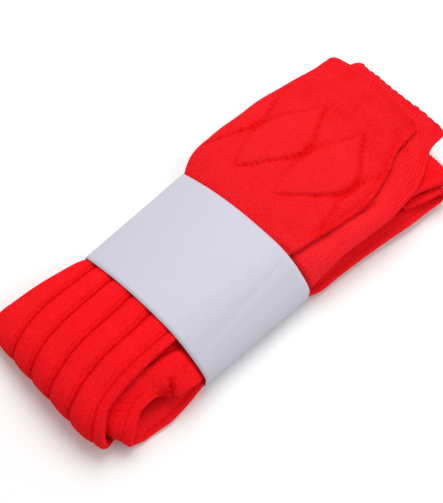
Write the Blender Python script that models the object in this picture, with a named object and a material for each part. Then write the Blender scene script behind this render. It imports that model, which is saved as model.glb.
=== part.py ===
"""A pair of long ribbed kilt socks, laid one on the other, folded in three and held by a paper band.

Each sock is a tube of knit pressed flat. Its cuff and upper leg are the top arm, the left fold turns
it under, the lower leg is the bottom arm, and the right fold brings the foot back into the middle.
The tables are in millimetres. X runs from the left fold to the cuff mouths, Y to the far side and
Z up from the surface that the pile lies on.
"""

from collections import namedtuple
from math import cos, pi, radians, sin

import bpy
import numpy as np

MM = 0.001

# The cloth
WALL = 3.0  # one thickness of the heavy knit
FLAT = 2 * WALL  # a sock pressed flat
CLEAR = 0.3  # between two pieces
EDGE_ANGLES = (50, 0, -50)  # points round a folded edge, degrees
CROWN_Y = -15.0  # the line along the pile from which its folds curve back at both ends
BUNDLE_CENTRE = (15.97, -1.19)  # middle of the pile in the tables' X and Y, the part's origin

# The flat ribs of the leg
FIRST_GROOVE = 8.0  # from the near edge
RIB_PITCH = 18.7
GROOVE_COUNT = 5
GROOVE_POINTS = ((-4.5, 0.15), (-1.4, 0.5), (0.0, 1.5), (1.4, 0.5), (4.5, 0.15))  # across, depth

# The leaves of the cuff: three on each face of the tube, pointing at its mouth
LEAF_BASE, LEAF_WIDEST, LEAF_TIP = 47.0, 82.0, 128.0  # along X
LEAF_HALF_WIDTH = 0.155  # shares of the flat width from here on
LEAF_PITCH = 1 / 3
FIRST_LEAF = 0.325
LEAF_LEAN = -0.05
LEAF_RISE = 1.3
LEAF_EDGE = 0.9  # depth of the line round a leaf

# The mouths
SLOT = 1.6  # between the two walls of a pressed cuff, at its mouth
POCKET = 30.0  # how deep the mouth is open
POCKET_ROWS = 4
RIM_ROUND = 1.2
OUTER_LOBE, INNER_LOBE = 3.0, 5.0  # how far the far corner of a mouth reaches out
LOBE_LENGTH = 40.0
STRIP = (-56.0, -51.0)  # the inner cuff's pattern fades out here, where the outer one covers it
OUTER_CUFF_COUNTS = (30, 32, 12)  # rows, points on the face, points on the back
INNER_CUFF_COUNTS = (26, 24, 12)

# The paper band
BAND_LEFT, BAND_RIGHT = -70.0, 21.0
LEG_END = -22.0  # where a leg meets its cuff, under the band
PAPER = 0.35
BAND_LIFT = 0.75  # the cloth is raised this much where the band passes under it
BAND_SIDES = 48

# The folded feet, one rounded solid in two layers
FEET_END = 111.7
FEET_CLEAR = 0.8
TOE_LENGTH = 40.0
NOTCH = 1.6

# A row for each place along a sock. x, z: crown of its middle surface; far, near: its two edges;
# far_drop, near_drop: how far each edge hangs below the crown; far_brow, near_brow: where it starts down.
Section = namedtuple("Section", "x z far near far_drop near_drop far_brow near_brow")

# A fold between two arms. nose: how far it reaches; the pulls round its two corners off.
Fold = namedtuple("Fold", "nose far near far_pull near_pull")

OUTER_TOP = (
    Section(BAND_LEFT, 35.3, 56.4, -34.5, 17.8, 0.0, -15.0, -30.0),
    Section(-77.0, 35.8, 58.2, -34.3, 17.8, 0.0, -15.0, -30.0),
    Section(-90.0, 35.3, 60.9, -34.3, 18.0, 0.3, -15.0, -28.0),
    Section(-108.0, 34.0, 64.0, -34.8, 17.5, 1.0, -15.0, -25.0),
    Section(-128.0, 31.0, 65.5, -37.0, 15.5, 2.0, -15.0, -20.0),
)
LEFT_OUTER_FOLD = Fold(-146.4, 66.0, -50.0, 2.5, 4.0)
OUTER_BOTTOM = (
    Section(-134.0, 3.0, 61.0, -45.5, 0.0, 0.0, -15.0, -30.0),
    Section(-100.0, 3.0, 58.0, -43.0, 0.0, 0.0, -15.0, -30.0),
    Section(-84.0, 3.0, 57.0, -42.5, 0.0, 0.0, -15.0, -30.0),
    Section(BAND_LEFT, 3.0 + BAND_LIFT, 55.0, -42.5, 0.0, 0.0, -15.0, -30.0),
    Section(BAND_RIGHT, 3.0 + BAND_LIFT, 58.0, -44.5, 0.0, 0.0, -15.0, -30.0),
    Section(38.0, 3.0, 59.0, -47.5, 0.0, 0.0, -15.0, -30.0),
    Section(80.0, 3.0, 55.0, -54.5, 0.0, 0.0, -15.0, -30.0),
    Section(120.0, 3.0, 44.0, -61.0, 0.0, 0.0, -15.0, -30.0),
    Section(145.0, 3.0, 33.0, -63.0, 0.0, 0.0, -15.0, -30.0),
)
RIGHT_OUTER_FOLD = Fold(158.0, 26.0, -67.0, 5.0, 2.0)
OUTER_RETURN = (
    Section(145.0, 21.8, 17.0, -69.5, 0.0, -1.0, -15.0, -60.0),
    Section(126.0, 21.8, 16.5, -62.5, 0.0, 0.0, -15.0, -60.0),
    Section(112.0, 21.8, 16.0, -60.0, 0.0, 0.0, -15.0, -50.0),
)
OUTER_CUFF = (
    Section(BAND_RIGHT, 35.3, 60.8, -40.5, 17.5, 0.0, -15.0, -30.0),
    Section(35.0, 35.8, 68.6, -43.0, 18.0, 0.0, -14.0, -30.0),
    Section(58.0, 35.5, 72.0, -47.0, 18.0, 0.0, -12.0, -30.0),
    Section(87.0, 35.4, 70.8, -49.5, 17.0, 0.0, -7.0, -30.0),
    Section(113.0, 35.3, 69.2, -46.0, 15.5, 0.0, 3.0, -30.0),
    Section(135.0, 35.2, 64.5, -37.0, 14.0, 0.0, 5.0, -30.0),
    Section(151.0, 34.8, 61.8, -35.0, 13.0, 0.0, 5.0, -30.0),
    Section(166.0, 34.3, 61.0, -31.5, 12.0, 0.0, 2.0, -28.0),
)

INNER_TOP = (
    Section(BAND_LEFT, 28.8, 41.0, -59.5, 12.2, 12.5, -15.0, -37.0),
    Section(-84.0, 28.7, 43.0, -58.0, 11.6, 8.5, -15.0, -36.0),
    Section(-98.0, 27.4, 44.0, -54.0, 11.0, 5.0, -15.0, -30.0),
    Section(-112.0, 24.8, 45.0, -52.5, 10.0, 3.0, -15.0, -25.0),
)
LEFT_INNER_FOLD = Fold(-132.5, 44.0, -61.5, 7.0, 4.0)
INNER_BOTTOM = (
    Section(-118.0, 9.35, 43.0, -61.3, 0.0, 6.3, -15.0, -43.8),
    Section(-98.0, 9.35, 41.0, -61.5, 0.0, 6.3, -15.0, -42.5),
    Section(-84.0, 9.35, 41.0, -60.2, 0.0, 6.3, -15.0, -42.0),
    Section(BAND_LEFT, 9.45 + BAND_LIFT, 40.0, -58.3, 0.0, 5.5, -15.0, -42.0),
    Section(BAND_RIGHT, 9.4 + BAND_LIFT, 42.0, -60.0, 0.0, 4.5, -15.0, -44.3),
    Section(30.0, 9.4, 43.0, -63.2, 0.0, 4.4, -15.0, -45.8),
    Section(45.0, 9.4, 43.0, -64.2, 0.0, 4.0, -15.0, -48.0),
    Section(80.0, 9.4, 42.0, -67.4, 0.0, 3.0, -15.0, -53.5),
    Section(120.0, 9.4, 36.0, -72.5, 0.0, 2.0, -15.0, -60.0),
    Section(140.0, 9.3, 30.0, -74.5, 0.0, 2.0, -15.0, -62.0),
)
RIGHT_INNER_FOLD = Fold(148.0, 26.0, -74.5, 7.0, 2.0)
INNER_RETURN = (
    Section(140.0, 15.5, 22.0, -72.5, 0.0, -0.6, -15.0, -60.0),
    Section(124.0, 15.5, 20.0, -68.0, 0.0, 0.0, -15.0, -60.0),
    Section(112.0, 15.5, 18.0, -63.0, 0.0, 0.0, -15.0, -50.0),
)
INNER_CUFF = (
    Section(BAND_RIGHT, 28.8, 45.0, -60.9, 13.0, 12.0, -15.0, -41.5),
    Section(35.0, 29.2, 49.0, -61.0, 14.0, 8.0, -14.0, -44.5),
    Section(52.0, 29.0, 54.0, -61.8, 14.5, 4.5, -12.0, -48.0),
    Section(73.0, 28.9, 58.0, -63.5, 14.0, 3.0, -9.0, -51.0),
    Section(96.0, 28.8, 57.0, -65.0, 12.5, 2.0, 0.0, -55.0),
    Section(113.0, 28.7, 54.0, -63.8, 11.0, 0.6, 5.0, -59.0),
    Section(126.0, 28.7, 52.0, -61.2, 10.5, 0.0, 7.0, -50.0),
    Section(144.0, 28.6, 51.0, -53.5, 10.5, 0.0, 7.0, -45.0),
    Section(156.0, 28.0, 51.5, -46.5, 10.5, 0.0, 7.0, -40.0),
    Section(174.5, 26.4, 51.5, -42.5, 9.5, 0.0, 5.0, -35.0),
)

# Outline of the folded feet: x, far edge, near edge
Outline = namedtuple("Outline", "x far near")
FEET_OUTLINE = (
    Outline(-62.0, 18.0, -42.0),
    Outline(BAND_RIGHT, 24.0, -43.0),
    Outline(70.0, 26.0, -50.0),
    Outline(FEET_END, 24.0, -57.0),
)

RED_KNIT = ("red_knit", (0.82, 0.012, 0.02, 1.0), 0.9)
WHITE_PAPER = ("white_paper", (0.72, 0.71, 0.78, 1.0), 0.6)


def clear_scene():
    for obj in list(bpy.data.objects):
        bpy.data.objects.remove(obj, do_unlink=True)


def principled(name, colour, roughness):
    """A plain dielectric material."""
    material = bpy.data.materials.get(name)
    if material is None:
        material = bpy.data.materials.new(name)
        material.use_nodes = True
        shader = material.node_tree.nodes["Principled BSDF"]
        shader.inputs["Base Color"].default_value = colour
        shader.inputs["Roughness"].default_value = roughness
        shader.inputs["Metallic"].default_value = 0.0
    return material


def smooth(at, places, values):
    """Cubic curve through the values of a table, at any places between its rows."""
    places, values = np.asarray(places, float), np.asarray(values, float)
    slopes = np.gradient(values, places, axis=0)
    index = np.clip(np.searchsorted(places, at) - 1, 0, len(places) - 2)
    step = places[index + 1] - places[index]
    t = np.clip((at - places[index]) / step, 0.0, 1.0)
    if values.ndim > 1:
        t, step = t[:, None], step[:, None]
    before, after = values[index], values[index + 1]
    return (
        (2 * t**3 - 3 * t**2 + 1) * before
        + (t**3 - 2 * t**2 + t) * step * slopes[index]
        + (3 * t**2 - 2 * t**3) * after
        + (t**3 - t**2) * step * slopes[index + 1]
    )


def rows_at(table, at):
    """Rows of an arm at these places, straight where the band holds it, with no pull at their edges."""
    values = np.array(sorted(table))
    places = values[:, 0]
    held = (at >= BAND_LEFT) & (at <= BAND_RIGHT)
    straight = np.stack([np.interp(at, places, column) for column in values.T], axis=1)
    rows = np.where(held[:, None], straight, smooth(at, places, values))
    return np.hstack([rows, np.zeros((len(rows), 2))])


def arm_rows(table, count):
    """Evenly spaced rows of one arm, in the table's own direction, with one at each edge of the band."""
    first, last = table[0].x, table[-1].x
    edges = [x for x in (BAND_LEFT, BAND_RIGHT) if min(first, last) <= x <= max(first, last)]
    spaced = np.linspace(first, last, count)
    kept = [x for x in spaced if all(abs(x - edge) > 2.0 for edge in edges)]
    rows = rows_at(table, np.array(sorted(kept + edges)))
    return rows[::-1] if last < first else rows


def fold_rows(before, fold, after, steps):
    """Rows round a fold: half an ellipse, furthest out low down, from one arm's end to the next's start."""
    before, after = np.array(before), np.array(after)
    inward = -1 if fold.nose > before[0] else 1
    rows = []
    for step in range(1, steps):
        turn = pi * step / steps
        share = (1 - cos(turn)) / 2
        lower = share if after[1] < before[1] else 1 - share
        out = sin(turn) ** (1.15 - 0.3 * lower)
        row = before + (after - before) * share
        row[0] += (fold.nose - row[0]) * out
        row[2] += (fold.far - row[2]) * out
        row[3] += (fold.near - row[3]) * out * (0.6 + 0.4 * lower)
        pull = inward * out * (1.5 - lower)
        rows.append(np.concatenate([row, [pull * fold.far_pull, pull * fold.near_pull]]))
    return np.array(rows)


def middle_surface(rows, ys):
    """Points of the middle surface, one row of ys for each row of the sock."""
    x, z, far, near, far_drop, near_drop, far_brow, near_brow, far_pull, near_pull = (
        column[:, None] for column in rows.T
    )
    far_end, near_end = far - WALL, near + WALL
    to_far = np.clip((ys - CROWN_Y) / (far_end - CROWN_Y), 0, 1)
    to_near = np.clip((CROWN_Y - ys) / (CROWN_Y - near_end), 0, 1)
    far_down = np.clip((ys - far_brow) / (far_end - far_brow), 0, 1)
    near_down = np.clip((near_brow - ys) / (near_brow - near_end), 0, 1)
    px = x + far_pull * to_far**4 + near_pull * to_near**4
    pz = z - far_drop * far_down**2 - near_drop * near_down**2
    return np.stack([px, ys, pz], axis=-1)


def unit(vectors):
    return vectors / np.linalg.norm(vectors, axis=-1, keepdims=True)


def outward(points, sense):
    """Unit normals of a grid of points; sense is -1 where its rows run towards the mouths."""
    along = np.gradient(points, axis=0)
    aside = np.gradient(points, axis=1)
    return unit(np.cross(aside, along)) * sense


def pressed_tube(rows, face_ys, back_ys, relief, thickness=FLAT, sense=1):
    """Rings of a tube pressed flat: its face with relief, its far edge, its plain back, its near edge."""
    half = thickness / 2
    face = middle_surface(rows, face_ys)
    normal = outward(face, sense)
    back = middle_surface(rows, back_ys)
    rings = [face + normal * (half + relief)[..., None]]
    for end, beside in ((-1, -2), (0, 1)):
        side = unit(face[:, end] - face[:, beside])
        up = normal[:, end]
        angles = EDGE_ANGLES if end else reversed(EDGE_ANGLES)
        edge = [
            face[:, end] + half * (side * cos(radians(a)) + up * sin(radians(a))) for a in angles
        ]
        rings.append(np.stack(edge, axis=1))
        if end:
            rings.append((back - outward(back, sense) * half)[:, ::-1])
    return np.concatenate(rings, axis=1)


def across(rows, shares):
    """Y of each share of the flat width, for each row."""
    near, far = rows[:, 3] + WALL, rows[:, 2] - WALL
    return near[:, None] + (far - near)[:, None] * np.asarray(shares)


def rib_ys(rows):
    """Y of the points that form the ribs: grooves at fixed distances along the cloth from the near edge."""
    fine = across(rows, np.linspace(0, 1, 60))
    points = middle_surface(rows, fine)
    steps = np.linalg.norm(np.diff(points, axis=1), axis=2)
    walked = np.hstack([np.zeros((len(rows), 1)), np.cumsum(steps, axis=1)])
    wanted = [
        FIRST_GROOVE - WALL + RIB_PITCH * k + aside
        for k in range(GROOVE_COUNT)
        for aside, _ in GROOVE_POINTS
    ]
    last = wanted[-1] + 3.0
    ys = []
    for lengths, y in zip(walked, fine):
        reach = min(1.0, lengths[-1] / last)
        ys.append([y[0], *np.interp(np.array(wanted) * reach, lengths, y), y[-1]])
    return np.array(ys)


def rib_relief(rows, ribbed):
    """Depth of the grooves at the points of rib_ys, faded out where the sock is pressed plain."""
    depths = [0.0, *([-depth for _, depth in GROOVE_POINTS] * GROOVE_COUNT), 0.0]
    return ribbed[:, None] * np.array(depths)[None, :]


def leaf_relief(rows, shares, visible):
    """Raised leaves with a sunk line round each, over the rows and shares of a cuff's face."""
    x = rows[:, 0][:, None]
    along = np.where(
        x < LEAF_WIDEST,
        (LEAF_WIDEST - x) / (LEAF_WIDEST - LEAF_BASE),
        (x - LEAF_WIDEST) / (LEAF_TIP - LEAF_WIDEST),
    )
    half = LEAF_HALF_WIDTH * np.cos(np.clip(along, 0, 1) * pi / 2)
    lean = LEAF_LEAN * (x - LEAF_WIDEST) / (LEAF_TIP - LEAF_BASE)
    relief = np.zeros((len(rows), len(shares)))
    for k in range(-1, 4):
        centre = FIRST_LEAF + LEAF_PITCH * k + lean
        aside = np.abs(np.asarray(shares)[None, :] - centre)
        inside = np.clip(1 - (aside / np.maximum(half, 1e-6)) ** 2, 0, 1) * (half > 0.01)
        line = np.exp(-(((aside - half) / 0.02) ** 2)) * (half > 0.01)
        relief += LEAF_RISE * inside**0.5 * (half / LEAF_HALF_WIDTH) ** 0.5 - LEAF_EDGE * line
    return relief * visible


def solid(name, rings, finish, closed_ends=True):
    """One closed mesh from rings of points in table millimetres, its ends filled."""
    count, round_ = rings.shape[:2]
    verts = rings.reshape(-1, 3)
    verts[:, 2] = np.maximum(verts[:, 2], 0.0)
    faces = []
    for i in range(count - 1):
        for j in range(round_):
            k = (j + 1) % round_
            faces.append((i * round_ + j, (i + 1) * round_ + j, (i + 1) * round_ + k, i * round_ + k))
    if closed_ends:
        faces.append(tuple(range(round_)))
        faces.append(tuple(range((count - 1) * round_, count * round_))[::-1])
    else:
        last = (count - 1) * round_
        for j in range(round_):
            k = (j + 1) % round_
            faces.append((last + j, j, k, last + k))
    return mesh_object(name, verts, faces, finish)


def mesh_object(name, verts, faces, finish):
    """The object of these points, moved so that the pile's middle is the origin, facing out."""
    centre = np.array([*BUNDLE_CENTRE, 0.0])
    mesh = bpy.data.meshes.new(name)
    mesh.from_pydata([tuple(v) for v in (verts - centre) * MM], [], faces)
    mesh.update()
    if signed_volume(mesh) < 0:
        mesh.flip_normals()
    mesh.materials.append(principled(*finish))
    mesh.shade_smooth()
    mesh.set_sharp_from_angle(angle=radians(50))
    obj = bpy.data.objects.new(name, mesh)
    bpy.context.scene.collection.objects.link(obj)
    return obj


def signed_volume(mesh):
    mesh.calc_loop_triangles()
    points = np.empty(len(mesh.vertices) * 3)
    mesh.vertices.foreach_get("co", points)
    corners = np.empty(len(mesh.loop_triangles) * 3, np.int32)
    mesh.loop_triangles.foreach_get("vertices", corners)
    return np.linalg.det(points.reshape(-1, 3)[corners.reshape(-1, 3)]).sum()


def ramp(values, start, end):
    """0 at start, 1 at end, smooth between."""
    t = np.clip((values - start) / (end - start), 0, 1)
    return t * t * (3 - 2 * t)


def under_band(leg_table, cuff_table, x):
    """The two tables, each reaching x under the band, where the leg meets its cuff."""
    left, right = np.array(leg_table[0]), np.array(cuff_table[0])
    share = (x - left[0]) / (right[0] - left[0])
    seam = left + (right - left) * share
    leg_end, cuff_start = seam.copy(), seam.copy()
    leg_end[0] -= CLEAR / 2
    cuff_start[0] += CLEAR / 2
    return (Section(*leg_end), *leg_table), (Section(*cuff_start), *cuff_table)


def leg(name, top, left_fold, bottom, right_fold, back):
    """A sock's leg and heel, from under its cuff round both folds, ribbed above and round the left fold."""
    parts = [
        arm_rows(top, 8),
        fold_rows(top[-1], left_fold, bottom[0], 12),
        arm_rows(bottom, 12),
        fold_rows(bottom[-1], right_fold, back[0], 8),
        arm_rows(back, 3),
    ]
    rows = np.vstack(parts)
    before_bottom = len(parts[0]) + len(parts[1])
    ribbed = np.zeros(len(rows))
    ribbed[:before_bottom] = 1.0
    heights = rows[len(parts[0]) : before_bottom, 1]
    ribbed[len(parts[0]) : before_bottom] = ramp(heights, bottom[0].z, bottom[0].z + 5.0)
    backs = across(rows, np.linspace(0, 1, 9))
    rings = pressed_tube(rows, rib_ys(rows), backs, rib_relief(rows, ribbed))
    solid(name, rings, RED_KNIT)
    return rings


def cuff(name, table, counts, lobe, strip_only):
    """A patterned cuff, from under the band to its open mouth, with the slot between its two walls."""
    row_count, face_count, back_count = counts
    shares, backs = np.linspace(0, 1, face_count), np.linspace(0, 1, back_count)
    rows = arm_rows(table, row_count)
    rows[:, 8] = lobe * ramp(rows[:, 0], rows[-1, 0] - LOBE_LENGTH, rows[-1, 0])
    ys = across(rows, shares)
    visible = np.ones_like(ys)
    if strip_only:
        visible = 1 - ramp(ys, STRIP[0], STRIP[1])
    relief = leaf_relief(rows, shares, visible)
    outside = pressed_tube(rows, ys, across(rows, backs), relief, sense=-1)

    rim = np.vstack([rows[-1], rows[-1]])
    rim[1, 0] += RIM_ROUND
    middle = (FLAT + SLOT) / 2
    plain = 0 * relief
    rounded = pressed_tube(rim, across(rim, shares), across(rim, backs), plain[:2], middle, sense=-1)

    places = np.linspace(rows[-1, 0], rows[-1, 0] - POCKET, POCKET_ROWS)
    inside = smooth(places, rows[:, 0], rows)
    inside[:, 2] -= WALL / 2
    inside[:, 3] += WALL / 2
    face, back = across(inside, shares), across(inside, backs)
    openings = np.linspace(SLOT, SLOT / 3, POCKET_ROWS)
    pocket = [
        pressed_tube(inside, face, back, plain[:POCKET_ROWS], open_by)[i]
        for i, open_by in enumerate(openings)
    ]
    solid(name, np.vstack([outside, rounded[1:], np.array(pocket)]), RED_KNIT)
    return outside


def arm_height(table, x, ys):
    """Height and slope factor of an arm's middle surface at one x."""
    points = middle_surface(rows_at(table, np.array([x])), np.asarray(ys)[None, :])[0]
    slope = np.gradient(points[:, 2], points[:, 1])
    return points[:, 2], np.sqrt(1 + slope**2)


def folded_feet(inner_top, inner_cuff):
    """The two feet inside the pile: one rounded solid with a notch round its edge between the layers."""
    toes = FEET_OUTLINE[0].x + TOE_LENGTH * (1 - np.cos(np.linspace(0.12, 1, 6) * pi / 2))
    xs = np.concatenate([toes, np.linspace(-10.0, FEET_END, 10)])
    outline = smooth(xs, [o.x for o in FEET_OUTLINE], np.array(FEET_OUTLINE))
    rings = []
    for x, far, near in outline:
        t = min(1.0, (x - FEET_OUTLINE[0].x) / TOE_LENGTH)
        width = (1 - (1 - t) ** 2) ** 0.5
        middle, half = (far + near) / 2, (far - near) / 2 * width
        ys = middle + half * np.linspace(-0.94, 0.94, 9)
        above = inner_cuff if x > LEG_END else inner_top
        roof, steep = arm_height(above, x, ys)
        floor, flat = arm_height(INNER_BOTTOM, x, ys)
        roof = roof - (FLAT / 2 + FEET_CLEAR) * steep
        floor = floor + (FLAT / 2 + FEET_CLEAR) * flat
        thin = 0.55 + 0.45 * width
        roof = floor + (roof - floor) * thin
        ring = [(x, y, z) for y, z in zip(ys, roof)]
        for end, side in ((-1, 1), (0, -1)):
            low, high, y = floor[end], roof[end], ys[end]
            reach = half * 0.06
            notch = 1.0 - NOTCH / max(reach, NOTCH)
            lobes = ((0.82, 0.7), (0.58, 1.0), (0.5, notch), (0.42, 1.0), (0.18, 0.7))
            points = [(x, y + side * reach * out, low + (high - low) * up) for up, out in lobes]
            ring.extend(points if end else reversed(points))
            if end:
                ring.extend((x, y, z) for y, z in zip(ys[::-1], floor[::-1]))
        rings.append(ring)
    solid("folded_feet", np.array(rings), RED_KNIT)


def hull(points):
    """Convex outline of points in a plane, anticlockwise."""
    points = sorted(set(map(tuple, np.round(points, 4))))

    def half(sequence):
        chain = []
        for p in sequence:
            while len(chain) > 1:
                (ax, ay), (bx, by) = chain[-2], chain[-1]
                if (bx - ax) * (p[1] - ay) - (by - ay) * (p[0] - ax) > 0:
                    break
                chain.pop()
            chain.append(p)
        return chain[:-1]

    return np.array(half(points) + half(reversed(points)))


def taut_outline(points, out):
    """Closed outline round what the band holds at one of its edges, with one side for each direction."""
    corners = hull(points)
    angles = np.linspace(0, 2 * pi, BAND_SIDES, endpoint=False)
    normals = np.stack([np.cos(angles), np.sin(angles)], axis=1)
    reach = (corners @ normals.T).max(axis=0) + out
    following = np.roll(normals, -1, axis=0)
    lines = np.stack([normals, following], axis=1)
    return np.linalg.solve(lines, np.stack([reach, np.roll(reach, -1)], axis=1)[..., None])[..., 0]


def paper_band(held):
    """The blank paper strip: a thin closed loop, straight from its left edge to its right edge."""
    ends = []
    for x in (BAND_LEFT, BAND_RIGHT):
        at_edge = [ring[:, 1:] for rings in held for ring in rings if abs(ring[:, 0] - x).max() < 1.5]
        points = np.vstack(at_edge)
        ends.append((taut_outline(points, CLEAR), taut_outline(points, CLEAR + PAPER)))
    (inside_left, outside_left), (inside_right, outside_right) = ends
    outer, inner = [], []
    for share in np.linspace(0, 1, 3):
        x = BAND_LEFT + (BAND_RIGHT - BAND_LEFT) * share
        outer.append([(x, *p) for p in outside_left + (outside_right - outside_left) * share])
        inner.append([(x, *p) for p in inside_left + (inside_right - inside_left) * share])
    solid("paper_band", np.array(outer + inner[::-1]), WHITE_PAPER, closed_ends=False)


def main():
    clear_scene()
    outer_top, outer_mouth = under_band(OUTER_TOP, OUTER_CUFF, LEG_END)
    inner_top, inner_mouth = under_band(INNER_TOP, INNER_CUFF, LEG_END)
    held = [
        leg("outer_sock", outer_top, LEFT_OUTER_FOLD, OUTER_BOTTOM, RIGHT_OUTER_FOLD, OUTER_RETURN),
        leg("inner_sock", inner_top, LEFT_INNER_FOLD, INNER_BOTTOM, RIGHT_INNER_FOLD, INNER_RETURN),
        cuff("outer_cuff", outer_mouth, OUTER_CUFF_COUNTS, OUTER_LOBE, strip_only=False),
        cuff("inner_cuff", inner_mouth, INNER_CUFF_COUNTS, INNER_LOBE, strip_only=True),
    ]
    folded_feet(inner_top, inner_mouth)
    paper_band(held)


if __name__ == "__main__":
    main()
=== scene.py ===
"""Looks of a pair of long ribbed kilt socks, folded in three and held by a blank paper band.

Lengths in the tables are millimetres, in the tables' own frame: X runs from the left fold to the
cuff mouths, Y to the far side, Z up from the floor. Every piece is moved by CENTRE at the end.

A sock is a tube of knit pressed flat. Each row of it is a cross-section of its middle surface, with
a face that looks out of the folds and a back that looks into them. The relief of a point is how far
it stands out from its wall, and its painted shading is how much of the knit's shade colour it
takes:
above 0 it is painted shade, darker than the yarn's own tone, and below 0 painted light, lighter.
"""

import logging
from collections.abc import Iterable
from dataclasses import dataclass, field
from enum import Enum
from math import cos, pi, radians, sin

import bpy
import numpy as np
from mathutils import Matrix, Vector


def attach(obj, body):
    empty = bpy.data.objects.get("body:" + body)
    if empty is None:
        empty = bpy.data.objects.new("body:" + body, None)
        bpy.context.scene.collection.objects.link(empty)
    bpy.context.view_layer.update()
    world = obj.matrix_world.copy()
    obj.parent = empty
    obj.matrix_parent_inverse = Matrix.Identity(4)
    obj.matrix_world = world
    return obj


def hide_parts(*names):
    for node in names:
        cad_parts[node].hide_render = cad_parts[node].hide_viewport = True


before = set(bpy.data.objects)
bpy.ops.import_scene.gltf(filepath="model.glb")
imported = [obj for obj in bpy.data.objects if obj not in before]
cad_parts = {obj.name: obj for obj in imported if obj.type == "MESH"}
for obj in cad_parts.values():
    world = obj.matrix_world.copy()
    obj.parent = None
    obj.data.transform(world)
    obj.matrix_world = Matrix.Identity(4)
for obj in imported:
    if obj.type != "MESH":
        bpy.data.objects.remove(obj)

log = logging.getLogger("socks")

Pair = tuple[np.ndarray, np.ndarray]
Colour = tuple[float, float, float]

MM = 0.001
CENTRE = np.array([15.97, -1.19, 0.0])
IMAGE_WIDTH = 443

# One wall of a tube, a tube pressed flat, the gap at seams and the slit between a tube's walls.
WALL = 3.0
FLAT = 2 * WALL
CLEAR = 0.3
SLIT = 0.3
# The line along a tube from which its two sides hang.
CROWN_Y = -15.0
# The band's two edges, its paper, how far it lifts the cloth on it, and the seam that it hides.
BAND_LEFT, BAND_RIGHT = -70.0, 21.0
PAPER = 0.35
BAND_LIFT = 0.75
LEG_END = -22.0
# The grooves between ribs, counted from a leg's near edge.
FIRST_GROOVE = 8.0
RIB_PITCH = 18.7
GROOVE_COUNT = 5

# The columns of a row: those of a Section in its order, and the pull at its two corners.
X, Z, FAR, NEAR = range(4)
FAR_PULL, NEAR_PULL = 8, 9


class Sense(Enum):
    """Which way the rows of a tube run, so that its face looks out of the folds."""

    FROM_CUFF = 1
    TO_MOUTH = -1


class Held(Enum):
    FOLDED = "folded"
    STRETCHED = "stretched"


@dataclass(frozen=True)
class Section:
    """One row of a sock: the crown of its middle surface and how its two sides hang."""

    x: float
    z: float
    far: float
    near: float
    far_drop: float
    near_drop: float
    far_brow: float = -15.0
    near_brow: float = -30.0

    def values(self) -> list[float]:
        """Returns: the row's numbers, with no pull at either corner."""
        return [
            self.x, self.z, self.far, self.near, self.far_drop, self.near_drop,
            self.far_brow, self.near_brow, 0.0, 0.0,
        ]


@dataclass(frozen=True)
class Fold:
    """A fold between two arms: how far it reaches, its edges, and how its corners round off."""

    nose: float
    far: float
    near: float
    far_pull: float
    near_pull: float


@dataclass(frozen=True)
class Crease:
    """A small valley in a face, from one point to another."""

    start: tuple[float, float]
    end: tuple[float, float]
    depth: float
    width: float


@dataclass(frozen=True)
class Leaf:
    """One knitted leaf: its middle line at three places and its half width, in shares of the flat
    width, and how strong the eyelets on its far side are."""

    base: float
    middle: float
    tip: float
    half: float
    upper: float


@dataclass(frozen=True)
class Line:
    """One line of a knitted profile: how far aside it runs, its width, depth and painted shade."""

    aside: float
    width: float
    depth: float
    dark: float

    def at(self, off: np.ndarray) -> np.ndarray:
        """Returns: the depth and the painted shade at these distances from the profile's middle."""
        return np.multiply.outer((self.depth, self.dark), bell(off - self.aside, self.width))


@dataclass(frozen=True)
class KnitFinish:
    """How a knit looks: its colours, its stitches' size in millimetres, and its surface.

    contrast and lightest say how strongly the hollow between stitches takes the shade colour as
    painted shade, uneven how strongly the yarn's own tone does, and fibre is the yarn's share of
    the bump. The shade colour also takes each point's painted shading.
    """

    name: str
    colour: Colour
    shade: Colour
    wale: float
    course: float
    contrast: float = 1.1
    lightest: float = -0.42
    heather: float = 0.9
    uneven: float = 1.8
    fibre: float = 0.35
    bump: float = 1.0
    bump_height: float = 0.0004
    roughness: float = 0.95
    specular: float = 0.04


@dataclass(frozen=True)
class PaperFinish:
    """How the paper looks: its colours, how uneven it is, and its surface."""

    name: str
    colour: Colour
    tint: Colour
    heather: float = 1.6
    bump: float = 0.15
    bump_height: float = 0.0002
    roughness: float = 0.55
    specular: float = 0.25


@dataclass(frozen=True)
class Lamp:
    """A round soft light, in metres and watts."""

    name: str
    place: tuple[float, float, float]
    size: float
    power: float


OUTER_TOP = (
    Section(BAND_LEFT, 35.3, 56.4, -34.5, 17.8, 0.0),
    Section(-77.0, 35.8, 58.2, -34.3, 17.8, 0.0),
    Section(-90.0, 35.3, 60.9, -34.3, 18.0, 0.3, -15.0, -28.0),
    Section(-108.0, 34.0, 64.0, -34.8, 17.5, 1.0, -15.0, -25.0),
    Section(-128.0, 31.0, 65.5, -37.0, 15.5, 2.0, -15.0, -20.0),
)
LEFT_OUTER_FOLD = Fold(-146.4, 66.0, -50.0, 2.5, 4.0)
OUTER_BOTTOM = (
    Section(-134.0, 3.0, 61.0, -45.5, 0.0, 0.0),
    Section(-100.0, 3.0, 58.0, -43.0, 0.0, 0.0),
    Section(-84.0, 3.0, 57.0, -42.5, 0.0, 0.0),
    Section(BAND_LEFT, 3.0 + BAND_LIFT, 55.0, -42.5, 0.0, 0.0),
    Section(BAND_RIGHT, 3.0 + BAND_LIFT, 58.0, -44.5, 0.0, 0.0),
    Section(38.0, 3.0, 59.0, -47.5, 0.0, 0.0),
    Section(80.0, 3.0, 55.0, -54.5, 0.0, 0.0),
    Section(120.0, 3.0, 44.0, -61.0, 0.0, 0.0),
    Section(145.0, 3.0, 33.0, -63.0, 0.0, 0.0),
)
RIGHT_OUTER_FOLD = Fold(158.0, 26.0, -67.0, 5.0, 2.0)
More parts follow.
